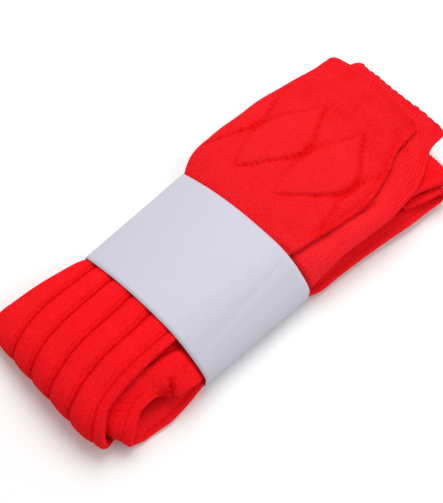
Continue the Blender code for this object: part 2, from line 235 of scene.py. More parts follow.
OUTER_RETURN = (
    Section(145.0, 21.8, 17.0, -69.5, 0.0, -1.0, -15.0, -60.0),
    Section(126.0, 21.8, 16.5, -62.5, 0.0, 0.0, -15.0, -60.0),
    Section(112.0, 21.8, 16.0, -60.0, 0.0, 0.0, -15.0, -50.0),
)
OUTER_CUFF = (
    Section(BAND_RIGHT, 35.3, 60.8, -40.5, 17.5, 0.0),
    Section(35.0, 35.8, 68.6, -43.0, 18.0, 0.0, -14.0),
    Section(58.0, 35.5, 72.0, -47.0, 18.0, 0.0, -12.0),
    Section(87.0, 35.4, 70.8, -49.5, 17.0, 0.0, -7.0),
    Section(113.0, 35.3, 69.2, -43.5, 15.5, 0.0, 3.0),
    Section(135.0, 35.2, 64.5, -35.0, 14.0, 0.0, 5.0),
    Section(151.0, 34.8, 61.8, -33.5, 13.0, 0.0, 5.0),
    Section(166.0, 34.3, 61.0, -32.0, 12.0, 0.0, 2.0, -28.0),
)

INNER_TOP = (
    Section(BAND_LEFT, 28.8, 41.0, -59.5, 12.2, 12.5, -15.0, -37.0),
    Section(-84.0, 28.7, 43.0, -58.0, 11.6, 8.5, -15.0, -36.0),
    Section(-93.0, 28.0, 43.7, -55.7, 11.2, 9.2, -15.0, -36.0),
    Section(-99.0, 27.3, 44.0, -51.6, 11.0, 4.8),
    Section(-112.0, 24.8, 45.0, -49.3, 10.0, 3.0, -15.0, -25.0),
)
LEFT_INNER_FOLD = Fold(-136.0, 44.0, -58.8, 9.0, 7.4)
INNER_BOTTOM = (
    Section(-118.0, 9.35, 43.0, -61.1, 0.0, 6.3, -15.0, -43.8),
    Section(-98.0, 9.35, 41.0, -61.5, 0.0, 6.3, -15.0, -42.5),
    Section(-84.0, 9.35, 41.0, -60.2, 0.0, 6.3, -15.0, -42.0),
    Section(BAND_LEFT, 9.45 + BAND_LIFT, 40.0, -58.3, 0.0, 5.5, -15.0, -42.0),
    Section(BAND_RIGHT, 9.4 + BAND_LIFT, 42.0, -60.0, 0.0, 4.5, -15.0, -44.3),
    Section(30.0, 9.4, 43.0, -63.2, 0.0, 4.4, -15.0, -45.8),
    Section(45.0, 9.4, 43.0, -64.2, 0.0, 4.0, -15.0, -48.0),
    Section(80.0, 9.4, 42.0, -67.4, 0.0, 3.0, -15.0, -53.5),
    Section(120.0, 9.4, 36.0, -72.5, 0.0, 2.0, -15.0, -60.0),
    Section(140.0, 9.3, 30.0, -74.5, 0.0, 2.0, -15.0, -62.0),
)
RIGHT_INNER_FOLD = Fold(148.0, 26.0, -74.5, 7.0, 4.0)
INNER_RETURN = (
    Section(140.0, 15.5, 22.0, -72.5, 0.0, -0.6, -15.0, -60.0),
    Section(124.0, 15.5, 20.0, -68.0, 0.0, 0.0, -15.0, -60.0),
    Section(112.0, 15.5, 18.0, -63.0, 0.0, 0.0, -15.0, -50.0),
)
INNER_CUFF = (
    Section(BAND_RIGHT, 28.8, 45.0, -60.9, 13.0, 12.0, -15.0, -41.5),
    Section(35.0, 29.2, 49.0, -61.0, 14.0, 8.0, -14.0, -44.5),
    Section(52.0, 29.0, 54.0, -61.8, 14.5, 4.5, -12.0, -48.0),
    Section(73.0, 28.9, 58.0, -63.5, 14.0, 3.0, -9.0, -51.0),
    Section(96.0, 28.8, 57.0, -65.0, 12.5, 2.0, 0.0, -55.0),
    Section(113.0, 28.7, 54.0, -63.8, 11.0, 0.6, 5.0, -59.0),
    Section(126.0, 28.7, 52.0, -61.2, 10.5, 0.0, 7.0, -50.0),
    Section(144.0, 28.6, 51.0, -53.5, 10.5, 0.0, 7.0, -45.0),
    Section(156.0, 28.0, 50.5, -47.0, 10.5, 0.0, 7.0, -40.0),
    Section(174.5, 26.4, 47.5, -45.0, 9.0, 0.0, 5.0, -35.0),
)
# X, far edge and near edge of the feet inside the pile.
FEET_OUTLINE = (
    (-62.0, 18.0, -42.0),
    (BAND_RIGHT, 24.0, -43.0),
    (70.0, 26.0, -50.0),
    (111.7, 24.0, -57.0),
)

LEAF_PROFILE = np.array(
    (
        (45.0, 0.0), (53.0, 0.30), (65.0, 0.64), (76.0, 0.92), (85.0, 1.0),
        (93.0, 0.92), (101.0, 0.72), (110.0, 0.42), (118.0, 0.18), (127.0, 0.0),
    )
)
LEAVES = (
    Leaf(-0.01, -0.05, -0.06, 0.155, 0.95),
    Leaf(0.372, 0.28, 0.262, 0.177, 0.3),
    Leaf(0.695, 0.657, 0.61, 0.177, 0.45),
    Leaf(1.02, 1.02, 0.97, 0.16, 0.4),
)

# The lines of a groove between ribs, from its middle towards the far side, and the fine line that
# runs beside the first groove, each with its depth and the painted shade it gives the groove.
GROOVE_LINES = (
    Line(0.0, 1.25, 1.0, 0.0),
    Line(0.0, 4.6, 0.42, 0.0),
    Line(0.0, 0.9375, 0.0, 1.0),
    Line(0.0, 4.0, 0.0, 0.12),
    Line(2.9, 0.8, 0.3, 0.4),
)
NEAR_LINE = Line(-3.8, 0.7, 0.4, 0.2)
# The sunk rim of a leaf with the painted shade in it, and the ridge outside it.
LEAF_RIM = (Line(0.0, 2.2, 0.9, 0.0), Line(0.0, 2.8, 0.0, 0.3))
LEAF_RIDGE = (Line(4.2, 1.6, -0.3, 0.0),)
# An eyelet and the knot beside it, as depth and painted shading: painted shade in the hole, and
# painted light on the knot.
HOLE, KNOT = (1.1, 0.52), (-0.55, -0.3)
# The hard creases of the inner sock's near side, at the pinch beside the left fold.
PINCH = (
    Crease((-87.0, -45.5), (-95.5, -57.0), 2.7, 1.15),
    Crease((-91.5, -51.0), (-106.0, -49.0), 2.5, 2.8),
    Crease((-64.0, -45.0), (-88.0, -48.5), 0.5, 2.2),
)

# Each knit's second colour is what its painted shade and its yarn's uneven tone mix towards.
LEG_KNIT = KnitFinish("ribbed_knit", (0.955, 0.0105, 0.0165), (0.66, 0.0003, 0.001), 2.0, 1.6)
CUFF_KNIT = KnitFinish(
    "patterned_knit", (0.85, 0.0195, 0.0283), (0.7, 0.0003, 0.001), 2.35, 1.7,
    contrast=1.9, lightest=-0.7,
)
BAND_PAPER = PaperFinish("blank_paper", (0.525, 0.515, 0.59), (0.485, 0.475, 0.555))
LAMPS = (
    Lamp("key", (0.4, 0.35, 1.15), 1.0, 11.9),
    Lamp("fill", (0.6, -0.6, 0.8), 1.0, 2.2),
    Lamp("low", (0.3, -1.0, 0.3), 0.9, 1.4),
)


def smooth(at: np.ndarray, places: np.ndarray, values: np.ndarray) -> np.ndarray:
    """Cubic curve through the values of a table.

    Args:
        at: places to read.
        places: the table's own places.
        values: one row for each of them.

    Returns:
        The values at those places.
    """
    slopes = np.gradient(values, places, axis=0)
    index = np.clip(np.searchsorted(places, at) - 1, 0, len(places) - 2)
    step = places[index + 1] - places[index]
    t = np.clip((at - places[index]) / step, 0.0, 1.0)[:, None]
    step = step[:, None]
    before, after = values[index], values[index + 1]
    return (
        (2 * t**3 - 3 * t**2 + 1) * before
        + (t**3 - 2 * t**2 + t) * step * slopes[index]
        + (3 * t**2 - 2 * t**3) * after
        + (t**3 - t**2) * step * slopes[index + 1]
    )


def ramp(values: np.ndarray, start: float, end: float) -> np.ndarray:
    """Returns: 0 at start, 1 at end, smooth between."""
    t = np.clip((values - start) / (end - start), 0.0, 1.0)
    return t * t * (3 - 2 * t)


def bell(off: np.ndarray, width: float) -> np.ndarray:
    """Returns: 1 at 0, falling off on both sides within about this width."""
    return np.exp(-((off / width) ** 2))


def lines_at(lines: Iterable[Line], off: np.ndarray) -> np.ndarray:
    """Returns: the depth and painted shade of all the lines together, this far from their profile.
    """
    return sum(line.at(off) for line in lines)


def by_part(parts: tuple[np.ndarray, ...], *values: np.ndarray | float) -> np.ndarray:
    """Returns: a value for each row of a tube, from one number or array for each of its parts."""
    return np.concatenate([np.broadcast_to(value, len(part)) for part, value in zip(parts, values)])


def unit(vectors: np.ndarray) -> np.ndarray:
    """Returns: the vectors, each of length 1."""
    return vectors / np.maximum(np.linalg.norm(vectors, axis=-1, keepdims=True), 1e-9)


def closed_round(rings: np.ndarray) -> np.ndarray:
    """Returns: the rings, each with its first point again at its end."""
    return np.concatenate([rings, rings[:, :1]], axis=1)


def with_x(x: float, points: np.ndarray) -> np.ndarray:
    """Returns: points in the plane at this X, from their Y and Z."""
    return np.column_stack([np.full(len(points), x), points])


def divided(outline: np.ndarray, counts: np.ndarray) -> np.ndarray:
    """Returns: a closed outline with each of its sides cut into so many."""
    sides = zip(outline, np.roll(outline, -1, axis=0), counts)
    return np.vstack([a + (b - a) * (np.arange(n) / n)[:, None] for a, b, n in sides])


def table_values(table: tuple[Section, ...]) -> np.ndarray:
    """Returns: a table's rows in order of X."""
    return np.array(sorted(section.values() for section in table))


def rows_at(values: np.ndarray, at: np.ndarray) -> np.ndarray:
    """Rows of an arm, straight where the band holds the cloth.

    Args:
        values: a table's rows in order of X.
        at: the places wanted.

    Returns:
        A row for each place.
    """
    places = values[:, X]
    held = (at >= BAND_LEFT) & (at <= BAND_RIGHT)
    straight = np.stack([np.interp(at, places, column) for column in values.T], axis=1)
    return np.where(held[:, None], straight, smooth(at, places, values))


def under_band(leg: tuple[Section, ...], cuff: tuple[Section, ...]) -> Pair:
    """Takes a leg and its cuff on to their seam under the band.

    Args:
        leg: the table of the leg's top arm, from the band's edge out.
        cuff: the cuff's table, from the band's other edge out.

    Returns:
        The rows of the top arm and of the cuff, each with its end at the seam.
    """
    left, right = np.array(leg[0].values()), np.array(cuff[0].values())
    seam = left + (right - left) * (LEG_END - BAND_LEFT) / (BAND_RIGHT - BAND_LEFT)
    leg_end, cuff_start = seam.copy(), seam.copy()
    leg_end[X] -= CLEAR / 2
    cuff_start[X] += CLEAR / 2
    return np.vstack([table_values(leg), leg_end]), np.vstack([cuff_start, table_values(cuff)])


def arm_rows(values: np.ndarray, step: float, away: bool) -> np.ndarray:
    """Rows of an arm about one step apart.

    Args:
        values: a table's rows in order of X.
        step: the distance in millimetres.
        away: True from high X to low.

    Returns:
        The rows, in the order that the tube runs.
    """
    first, last = values[0, X], values[-1, X]
    rows = rows_at(values, np.linspace(first, last, max(3, round((last - first) / step) + 1)))
    return rows[::-1] if away else rows


def fold_rows(before: np.ndarray, fold: Fold, after: np.ndarray, steps: int) -> np.ndarray:
    """Rows round a fold between two arms, furthest out low down.

    Args:
        before: the last row of the arm before it.
        fold: how far the fold reaches.
        after: the first row of the arm after it.
        steps: how many steps it takes.

    Returns:
        The rows between the two.
    """
    inward = -1 if fold.nose > before[X] else 1
    rows = []
    for step in range(1, steps):
        turn = pi * step / steps
        share = (1 - cos(turn)) / 2
        lower = share if after[Z] < before[Z] else 1 - share
        out = sin(turn) ** (1.15 - 0.3 * lower)
        row = before + (after - before) * share
        row[X] += (fold.nose - row[X]) * out
        row[FAR] += (fold.far - row[FAR]) * out
        row[NEAR] += (fold.near - row[NEAR]) * out * (0.6 + 0.4 * lower)
        pull = inward * out * (1.5 - lower)
        row[FAR_PULL], row[NEAR_PULL] = pull * fold.far_pull, pull * fold.near_pull
        rows.append(row)
    return np.array(rows)


def across(rows: np.ndarray, shares: np.ndarray) -> np.ndarray:
    """Returns: Y of each share of the flat width, for each row."""
    near, far = rows[:, NEAR] + WALL, rows[:, FAR] - WALL
    return near[:, None] + (far - near)[:, None] * shares


def eased(rows: np.ndarray, joints: tuple[int, ...], reach: int) -> np.ndarray:
    """Rounds off the bends between a tube's parts.

    Args:
        rows: the tube's rows.
        joints: the rows at which its parts meet.
        reach: over how many rows each way.

    Returns:
        The rows, softened at the joints.
    """
    soft = rows.copy()
    for joint in joints:
        for index in range(max(reach, joint - reach), min(len(rows) - reach, joint + reach + 1)):
            spread = reach - abs(index - joint) + 1
            soft[index] = rows[index - spread : index + spread + 1].mean(axis=0)
    return soft


def middle_surface(rows: np.ndarray, ys: np.ndarray) -> np.ndarray:
    """Points of a tube's middle surface.

    Args:
        rows: the tube's rows.
        ys: Y of the points wanted in each row.

    Returns:
        The points, as (row, place across, 3).
    """
    x, z, far, near, far_drop, near_drop, far_brow, near_brow, far_pull, near_pull = (
        column[:, None] for column in rows.T
    )
    far_end, near_end = far - WALL, near + WALL
    to_far = np.clip((ys - CROWN_Y) / (far_end - CROWN_Y), 0, 1)
    to_near = np.clip((CROWN_Y - ys) / (CROWN_Y - near_end), 0, 1)
    far_down = np.clip((ys - far_brow) / (far_end - far_brow), 0, 1)
    near_down = np.clip((near_brow - ys) / (near_brow - near_end), 0, 1)
    px = x + far_pull * to_far**4 + near_pull * to_near**4
    pz = z - far_drop * far_down**2 - near_drop * near_down**2
    return np.stack([px, ys, pz], axis=-1)


def outward(points: np.ndarray, sense: Sense) -> np.ndarray:
    """Returns: unit normals of a grid of points, out of the folds."""
    return unit(np.cross(np.gradient(points, axis=1), np.gradient(points, axis=0))) * sense.value


def walked(points: np.ndarray, axis: int) -> np.ndarray:
    """Distances along one axis of a grid of points.

    Args:
        points: the grid.
        axis: 0 from row to row, 1 along each row.

    Returns:
        The distance walked to each point, from 0.
    """
    steps = np.linalg.norm(np.diff(points, axis=axis), axis=-1)
    start = np.zeros_like(np.take(steps, [0], axis=axis))
    return np.concatenate([start, np.cumsum(steps, axis=axis)], axis=axis)


def along_crease(points: np.ndarray, crease: Crease) -> np.ndarray:
    """Relief of a crease, along the cloth's normal.

    Args:
        points: points of a face.
        crease: the crease.

    Returns:
        The relief at each point, below 0 in the crease.
    """
    start, end = np.array(crease.start), np.array(crease.end)
    run = end - start
    offset = points[..., :2] - start
    share = np.clip((offset @ run) / (run @ run), 0, 1)
    apart = np.linalg.norm(offset - share[..., None] * run, axis=-1)
    taper = np.sin(pi * np.clip(share, 0.02, 0.98)) ** 0.6
    return -crease.depth * taper * bell(apart, crease.width)


def under_paper(x: np.ndarray) -> np.ndarray:
    """Returns: 1 under the band, falling to 0 a little way past its edges."""
    margin = 5.0
    return ramp(x, BAND_LEFT - margin, BAND_LEFT) * (1 - ramp(x, BAND_RIGHT, BAND_RIGHT + margin))


def paper_press(ys: np.ndarray) -> np.ndarray:
    """Returns: how deep the band presses the cloth at each Y, most at its near side."""
    return 0.5 + 2.0 * ramp(ys, -20.0, -42.0)


def wander(points: np.ndarray, seed: int, shortest: float, longest: float) -> np.ndarray:
    """A smooth random field over X and Y, the same each time.

    Args:
        points: where to read it.
        seed: which field.
        shortest: the shortest wave in it, in millimetres.
        longest: the longest.

    Returns:
        Values of about -1 to 1.
    """
    chance = np.random.default_rng(seed)
    total = np.zeros(points.shape[:-1])
    for _ in range(9):
        turn, phase = chance.uniform(0, pi), chance.uniform(0, 2 * pi)
        length = chance.uniform(shortest, longest)
        along = points[..., 0] * cos(turn) + points[..., 1] * sin(turn)
        total += np.sin(2 * pi * along / length + phase)
    return total / 3.0


def linked(name: str, data: bpy.types.ID) -> bpy.types.Object:
    """Makes an object and links it into the scene.

    Args:
        name: its name.
        data: its mesh, camera or light.

    Returns:
        The object.
    """
    obj = bpy.data.objects.new(name, data)
    bpy.context.scene.collection.objects.link(obj)
    return obj


class NodeGroups:
    """The shader effects that several finishes share, each a node group made once."""

    @staticmethod
    def _new(
        name: str, inputs: dict[str, float | None], outputs: tuple[str, ...]
    ) -> tuple[bpy.types.NodeTree, bpy.types.Node, bpy.types.Node]:
        """Makes an empty group with named sockets.

        Args:
            name: the group's name.
            inputs: each input's default, or None where it is a vector.
            outputs: the names of its outputs, all single values.

        Returns:
            The tree and its input and output nodes.
        """
        tree = bpy.data.node_groups.new(name, "ShaderNodeTree")
        for label, default in inputs.items():
            kind = "NodeSocketVector" if default is None else "NodeSocketFloat"
            socket = tree.interface.new_socket(label, in_out="INPUT", socket_type=kind)
            if default is not None:
                socket.default_value = default
        for label in outputs:
            tree.interface.new_socket(label, in_out="OUTPUT", socket_type="NodeSocketFloat")
        return tree, tree.nodes.new("NodeGroupInput"), tree.nodes.new("NodeGroupOutput")

    @staticmethod
    def math(
        tree: bpy.types.NodeTree, operation: str, *values: bpy.types.NodeSocket | float
    ) -> bpy.types.NodeSocket:
        """Adds a Math node.

        Args:
            tree: where.
            operation: what it does, in Blender's words.
            values: its inputs, each a socket or a number.

        Returns:
            Its output.
        """
        node = tree.nodes.new("ShaderNodeMath")
        node.operation = operation
        for socket, value in zip(node.inputs, values):
            if isinstance(value, bpy.types.NodeSocket):
                tree.links.new(value, socket)
            else:
                socket.default_value = value
        return node.outputs[0]

    @classmethod
    def stitch(cls) -> bpy.types.NodeTree:
        """Rows of V-shaped stitches, on the cloth's UVs in metres.

        Returns:
            The group. Height is the yarn's, and Hollow is 1 between the stitches.
        """
        name = "Knit Stitch"
        if name in bpy.data.node_groups:
            return bpy.data.node_groups[name]
        inputs = {"Cloth": None, "Wale": 2.0, "Course": 1.6, "Slant": 0.6}
        tree, given, made = cls._new(name, inputs, ("Height", "Hollow"))
        split = tree.nodes.new("ShaderNodeSeparateXYZ")
        tree.links.new(given.outputs["Cloth"], split.inputs[0])
        u = cls.math(tree, "MULTIPLY", split.outputs["X"], 1 / MM)
        v = cls.math(tree, "MULTIPLY", split.outputs["Y"], 1 / MM)
        column = cls.math(tree, "FRACT", cls.math(tree, "DIVIDE", u, given.outputs["Wale"]))
        off = cls.math(tree, "ABSOLUTE", cls.math(tree, "SUBTRACT", column, 0.5))
        aside = cls.math(tree, "MULTIPLY", off, 2.0)
        course = cls.math(tree, "DIVIDE", v, given.outputs["Course"])
        phase = cls.math(tree, "MULTIPLY_ADD", aside, given.outputs["Slant"], course)
        wave = cls.math(tree, "COSINE", cls.math(tree, "MULTIPLY", phase, 2 * pi))
        crest = cls.math(tree, "MULTIPLY_ADD", wave, 0.5, 0.5)
        leg = cls.math(tree, "SINE", cls.math(tree, "MULTIPLY", aside, pi))
        body = cls.math(tree, "MULTIPLY_ADD", crest, 0.6, 0.4)
        height = cls.math(tree, "MULTIPLY", cls.math(tree, "POWER", leg, 0.7), body)
        tree.links.new(height, made.inputs["Height"])
        tree.links.new(cls.math(tree, "SUBTRACT", 1.0, height), made.inputs["Hollow"])
        return tree

    @classmethod
    def heather(cls) -> bpy.types.NodeTree:
        """Slow and fine change of tone, as through a yarn or a sheet of paper.

        Returns:
            The group. Tone is about 0.5, and Fibre is a fine relief.
        """
        name = "Yarn Heather"
        if name in bpy.data.node_groups:
            return bpy.data.node_groups[name]
        inputs = {"Position": None, "Contrast": 1.0}
        tree, given, made = cls._new(name, inputs, ("Tone", "Fibre"))
        noises = []
        for scale in (60.0, 560.0):
            noise = tree.nodes.new("ShaderNodeTexNoise")
            noise.inputs["Scale"].default_value = scale
            noise.inputs["Detail"].default_value = 2.0
            tree.links.new(given.outputs["Position"], noise.inputs["Vector"])
            noises.append(noise.outputs["Fac"])
        slow, fine = noises
        both = cls.math(tree, "MULTIPLY_ADD", fine, 0.85, cls.math(tree, "MULTIPLY", slow, 0.15))
        spread = cls.math(tree, "SUBTRACT", both, 0.5)
        tone = cls.math(tree, "MULTIPLY_ADD", spread, given.outputs["Contrast"], 0.5)
        tree.links.new(tone, made.inputs["Tone"])
        tree.links.new(fine, made.inputs["Fibre"])
        return tree


class Dresser:
    """One material in the making, from its frozen description."""

    def __init__(self, finish: KnitFinish | PaperFinish) -> None:
        """Starts the material with its gloss and its heather.

        Args:
            finish: the description.
        """
        self.material = bpy.data.materials.new(finish.name)
        self.material.use_nodes = True
        self.tree = self.material.node_tree
        self.shader = self.tree.nodes["Principled BSDF"]
        self.shader.inputs["Roughness"].default_value = finish.roughness
        self.shader.inputs["Specular IOR Level"].default_value = finish.specular
        place = self.tree.nodes.new("ShaderNodeTexCoord")
        self.heather = self.group(NodeGroups.heather(), Contrast=finish.heather)
        self.tree.links.new(place.outputs["Object"], self.heather.inputs["Position"])

    def group(self, group: bpy.types.NodeTree, **values: float) -> bpy.types.Node:
        """Places a shared effect in the material.

        Args:
            group: the effect.
            values: its inputs for this material.

        Returns:
            The node that holds it.
        """
        node = self.tree.nodes.new("ShaderNodeGroup")
        node.node_tree = group
        for name, value in values.items():
            node.inputs[name].default_value = value
        return node

    def math(self, operation: str, *values: bpy.types.NodeSocket | float) -> bpy.types.NodeSocket:
        """Returns: the output of a new Math node of this material."""
        return NodeGroups.math(self.tree, operation, *values)

    def colour(self, first: Colour, second: Colour, share: bpy.types.NodeSocket) -> None:
        """Colours the surface between two colours.

        Args:
            first: the colour where the share is 0.
            second: the colour where it is 1.
            share: the share, clamped.
        """
        mix = self.tree.nodes.new("ShaderNodeMix")
        mix.data_type = "RGBA"
        mix.clamp_factor = True
        mix.inputs[6].default_value = (*first, 1.0)
        mix.inputs[7].default_value = (*second, 1.0)
        self.tree.links.new(share, mix.inputs[0])
        self.tree.links.new(mix.outputs[2], self.shader.inputs["Base Color"])

    def bump(self, relief: bpy.types.NodeSocket, finish: KnitFinish | PaperFinish) -> None:
        """Gives the surface its fine relief.

        Args:
            relief: the height over the surface.
            finish: the description, with the bump's strength and height.
        """
        bump = self.tree.nodes.new("ShaderNodeBump")
        bump.inputs["Strength"].default_value = finish.bump
        bump.inputs["Distance"].default_value = finish.bump_height
        self.tree.links.new(relief, bump.inputs["Height"])
        self.tree.links.new(bump.outputs["Normal"], self.shader.inputs["Normal"])


def knit_material(finish: KnitFinish) -> bpy.types.Material:
    """Makes a knit's material, on the UVs "cloth" and the attribute of painted shading.

    Args:
        finish: the knit's description.

    Returns:
        The material.
    """
    made = Dresser(finish)
    nodes, links = made.tree.nodes, made.tree.links
    cloth = nodes.new("ShaderNodeUVMap")
    cloth.uv_map = "cloth"
    stitch = made.group(NodeGroups.stitch(), Wale=finish.wale, Course=finish.course)
    links.new(cloth.outputs["UV"], stitch.inputs["Cloth"])
    cavity = nodes.new("ShaderNodeAttribute")
    cavity.attribute_name = "cavity"
    # The hollow between stitches takes painted shade, and the painted shading adds its painted
    # shade and painted light.
    hollow = made.math("MULTIPLY_ADD", stitch.outputs["Hollow"], finish.contrast, finish.lightest)
    off = made.math("SUBTRACT", made.heather.outputs["Tone"], 0.5)
    dark = made.math("ADD", hollow, made.math("MULTIPLY", off, finish.uneven))
    dark = made.math("ADD", dark, cavity.outputs["Fac"])
    made.colour(finish.colour, finish.shade, dark)
    fibre, height = made.heather.outputs["Fibre"], stitch.outputs["Height"]
    made.bump(made.math("MULTIPLY_ADD", fibre, finish.fibre, height), finish)
    return made.material


def paper_material(finish: PaperFinish) -> bpy.types.Material:
    """Makes the paper's material.

    Args:
        finish: the paper's description.

    Returns:
        The material.
    """
    made = Dresser(finish)
    made.colour(finish.colour, finish.tint, made.heather.outputs["Tone"])
    made.bump(made.heather.outputs["Fibre"], finish)
    return made.material


@dataclass
class RingMesh:
    """A mesh made of rings of points that follow each other, with its UVs in metres of cloth.

    rings are points in millimetres, as (ring, place round it, 3). us is each point's distance round
    the tube, with one more for the ring's end, and vs each ring's distance along it. The painted
    shading holds each point's painted shade, below 0 its painted light.
    """

    rings: np.ndarray
    us: np.ndarray
    vs: np.ndarray
    cavity: np.ndarray

    def _faces(self, loop: bool) -> tuple[np.ndarray, np.ndarray]:
        """Joins each ring to the next.

        Args:
            loop: True where the last ring meets the first.

        Returns:
            The corners of each face, and the UV of each corner in millimetres.
        """
        count, size = self.rings.shape[:2]
        i, j = np.meshgrid(np.arange(count if loop else count - 1), np.arange(size), indexing="ij")
        after, beside = (i + 1) % count, (j + 1) % size
        quads = [i * size + j, after * size + j, after * size + beside, i * size + beside]
        u = [self.us[i, j], self.us[after, j], self.us[after, j + 1], self.us[i, j + 1]]
        v = [self.vs[i], self.vs[after], self.vs[after], self.vs[i]]
        uvs = np.stack([np.stack(u, axis=-1), np.stack(v, axis=-1)], axis=-1)
        return np.stack(quads, axis=-1).reshape(-1, 4), uvs.reshape(-1, 4, 2)

    def make(
        self, name: str, material: bpy.types.Material, loop: bool, caps: bool
    ) -> bpy.types.Object:
        """Builds the object, its faces outward.

        Args:
            name: the piece's name.
            material: its finish.
            loop: True where the last ring meets the first.
            caps: True where flat faces fill both ends.

        Returns:
            The object.
        """
        count, size = self.rings.shape[:2]
        quads, uvs = self._faces(loop)
        points = (self.rings.reshape(-1, 3) - CENTRE) * MM
        a, b, c, d = np.moveaxis(points[quads], 1, 0)
        inside_out = np.einsum("ij,ij->", a, np.cross(b, c) + np.cross(c, d)) < 0
        turn = -1 if inside_out else 1
        faces = quads[:, ::turn].tolist()
        uvs = uvs[:, ::turn].reshape(-1, 2) * MM
        if caps:
            start, end = np.arange(size), np.arange((count - 1) * size, count * size)
            faces += [start[::turn].tolist(), end[::-turn].tolist()]
            uvs = np.vstack([uvs, np.zeros((2 * size, 2))])
        mesh = bpy.data.meshes.new(name)
        mesh.from_pydata(points.tolist(), [], faces)
        mesh.uv_layers.new(name="cloth").data.foreach_set("uv", uvs.reshape(-1))
        # The painted shade and painted light of each point, which the knit's material reads.
        shade = mesh.attributes.new("cavity", "FLOAT", "POINT")
        shade.data.foreach_set("value", self.cavity.reshape(-1))
        mesh.materials.append(material)
        mesh.shade_smooth()
        mesh.update()
        return linked(name, mesh)


@dataclass
class PressedTube:
    """A tube of knit pressed flat, with a thin slit between its two walls.

    flat is its flat size in metres, which is not used. step is the way from row to row, and
    face_count, back_count and edge_angles say where the points of a row lie. The inside has one row
    for every inner_every.
    """

    name: str
    node: str
    finish: bpy.types.Material
    flat: tuple[float, float]
    rests_on: tuple[str, ...]
    step: float = 2.0
    face_count: int = 150
    back_count: int = 60
    held_count: int = 60
    inner_every: int = 6
    edge_angles: tuple[float, ...] = (75.0, 50.0, 25.0, 0.0, -25.0, -50.0, -75.0)
    sense: Sense = Sense.FROM_CUFF
    creases: tuple[Crease, ...] = ()
    # The creases take painted shade, the edges painted light, and the walls of the slit inside an
    # even painted shade, by the next three.
    crease_dark: float = 0.32
    edge_light: float = 0.0
    inner_painted_shade: float = 0.25
    rows: np.ndarray = field(init=False)

    def make_rows(self) -> np.ndarray:
        """Returns: the tube's rows, from one end to the other."""
        raise NotImplementedError

    def face_relief(self, points: np.ndarray) -> Pair:
        """Returns: the relief and the painted shading at points of the face."""
        raise NotImplementedError

    def back_relief(self, points: np.ndarray) -> Pair:
        """Returns: the relief and the painted shading at points of the back."""
        return np.zeros(points.shape[:2]), np.zeros(points.shape[:2])

    def crease_rows(self) -> np.ndarray:
        """Returns: the share of the creases that each row has."""
        return np.ones(len(self.rows))

    def edge_lights(self) -> np.ndarray:
        """Returns: how much painted light makes each row's edges lighter than its face."""
        return np.full(len(self.rows), self.edge_light)

    def slit(self, rows: np.ndarray) -> np.ndarray:
        """Returns: how wide the slit between the walls is, at each row."""
        return np.full(len(rows), SLIT)

    def finish_rings(self, rings: np.ndarray) -> np.ndarray:
        """Returns: the outer rings after any last change."""
        return rings

    def middle(self, rows: np.ndarray, ys: np.ndarray) -> np.ndarray:
        """Returns: points of the tube's middle surface."""
        return middle_surface(rows, ys)

    def round_lengths(self, closed: np.ndarray) -> np.ndarray:
        """Returns: each point's distance round the tube, from the face's near end."""
        return walked(closed, 1)

    def _surface(self, rows: np.ndarray, count: int, sense: Sense) -> Pair:
        """Lays points over the tube's middle surface.

        Args:
            rows: the rows.
            count: how many points each has.
            sense: which way the rows run.

        Returns:
            The points and their unit normals.
        """
        points = self.middle(rows, across(rows, np.linspace(0, 1, count)))
        return points, outward(points, sense)

    def _edge(self, face: Pair, over: np.ndarray, under: np.ndarray, end: int) -> np.ndarray:
        """Rounds off one edge of the tube.

        Args:
            face: the face's points and normals.
            over: how far the wall stands over the middle surface there, at each row.
            under: how far it stands under it.
            end: 0 for the near edge, -1 for the far one.

        Returns:
            Points round the edge, in the order of the ring.
        """
        points, normals = face
        beside = -2 if end else 1
        side = unit(points[:, end] - points[:, beside])
        rounded = []
        for angle in self.edge_angles if end else self.edge_angles[::-1]:
            lift = sin(radians(angle))
            half = (over * (1 + lift) + under * (1 - lift)) / 2
            out = side * cos(radians(angle)) + normals[:, end] * lift
            rounded.append(points[:, end] + half[:, None] * out)
        return np.stack(rounded, axis=1)

    def _around(self, face: Pair, back: Pair, over: np.ndarray, under: np.ndarray) -> np.ndarray:
        """Makes rings round the tube's middle surface.

        Args:
            face: the surface's points and normals as the face has them.
            back: the same as the back has them.
            over: how far each point of the face stands over the surface.
            under: how far each point of the back stands under it.

        Returns:
            The rings: face, far edge, back and near edge.
        """
        parts = [
            face[0] + face[1] * over[..., None],
            self._edge(face, over[:, -1], under[:, -1], -1),
            (back[0] - back[1] * under[..., None])[:, ::-1],
            self._edge(face, over[:, 0], under[:, 0], 0),
        ]
        return np.concatenate(parts, axis=1)

    def held_rings(self) -> np.ndarray:
        """Makes plain rings of the tube's outside, which the band is pulled round.

        Returns:
            The rings.
        """
        surface = self._surface(self.rows, self.held_count, self.sense)
        wall = np.full((len(self.rows), self.held_count), WALL)
        return self._around(surface, surface, wall, wall)

    def outer_rings(self) -> Pair:
        """Makes the tube's outside.

        Returns:
            Its rings, and the painted shading of each point.
        """
        face = self._surface(self.rows, self.face_count, self.sense)
        back = self._surface(self.rows, self.back_count, self.sense)
        relief, hollow = self.face_relief(face[0])
        # Each crease takes painted shade as deep as it presses in.
        for crease in self.creases:
            pressed = along_crease(face[0], crease) * self.crease_rows()[:, None]
            relief = relief + pressed
            hollow = hollow - self.crease_dark * pressed
        lower, back_hollow = self.back_relief(back[0])
        over, under = (WALL + np.maximum(part, SLIT - WALL) for part in (relief, lower))
        # Both edges take the painted shading of the face beside them, less their painted light.
        edge = np.ones((1, len(self.edge_angles)))
        light = self.edge_lights()[:, None]
        far, near = hollow[:, -1:] * edge - light, hollow[:, :1] * edge - light
        cavity = np.concatenate([hollow, far, back_hollow[:, ::-1], near], axis=1)
        return self.finish_rings(self._around(face, back, over, under)), cavity

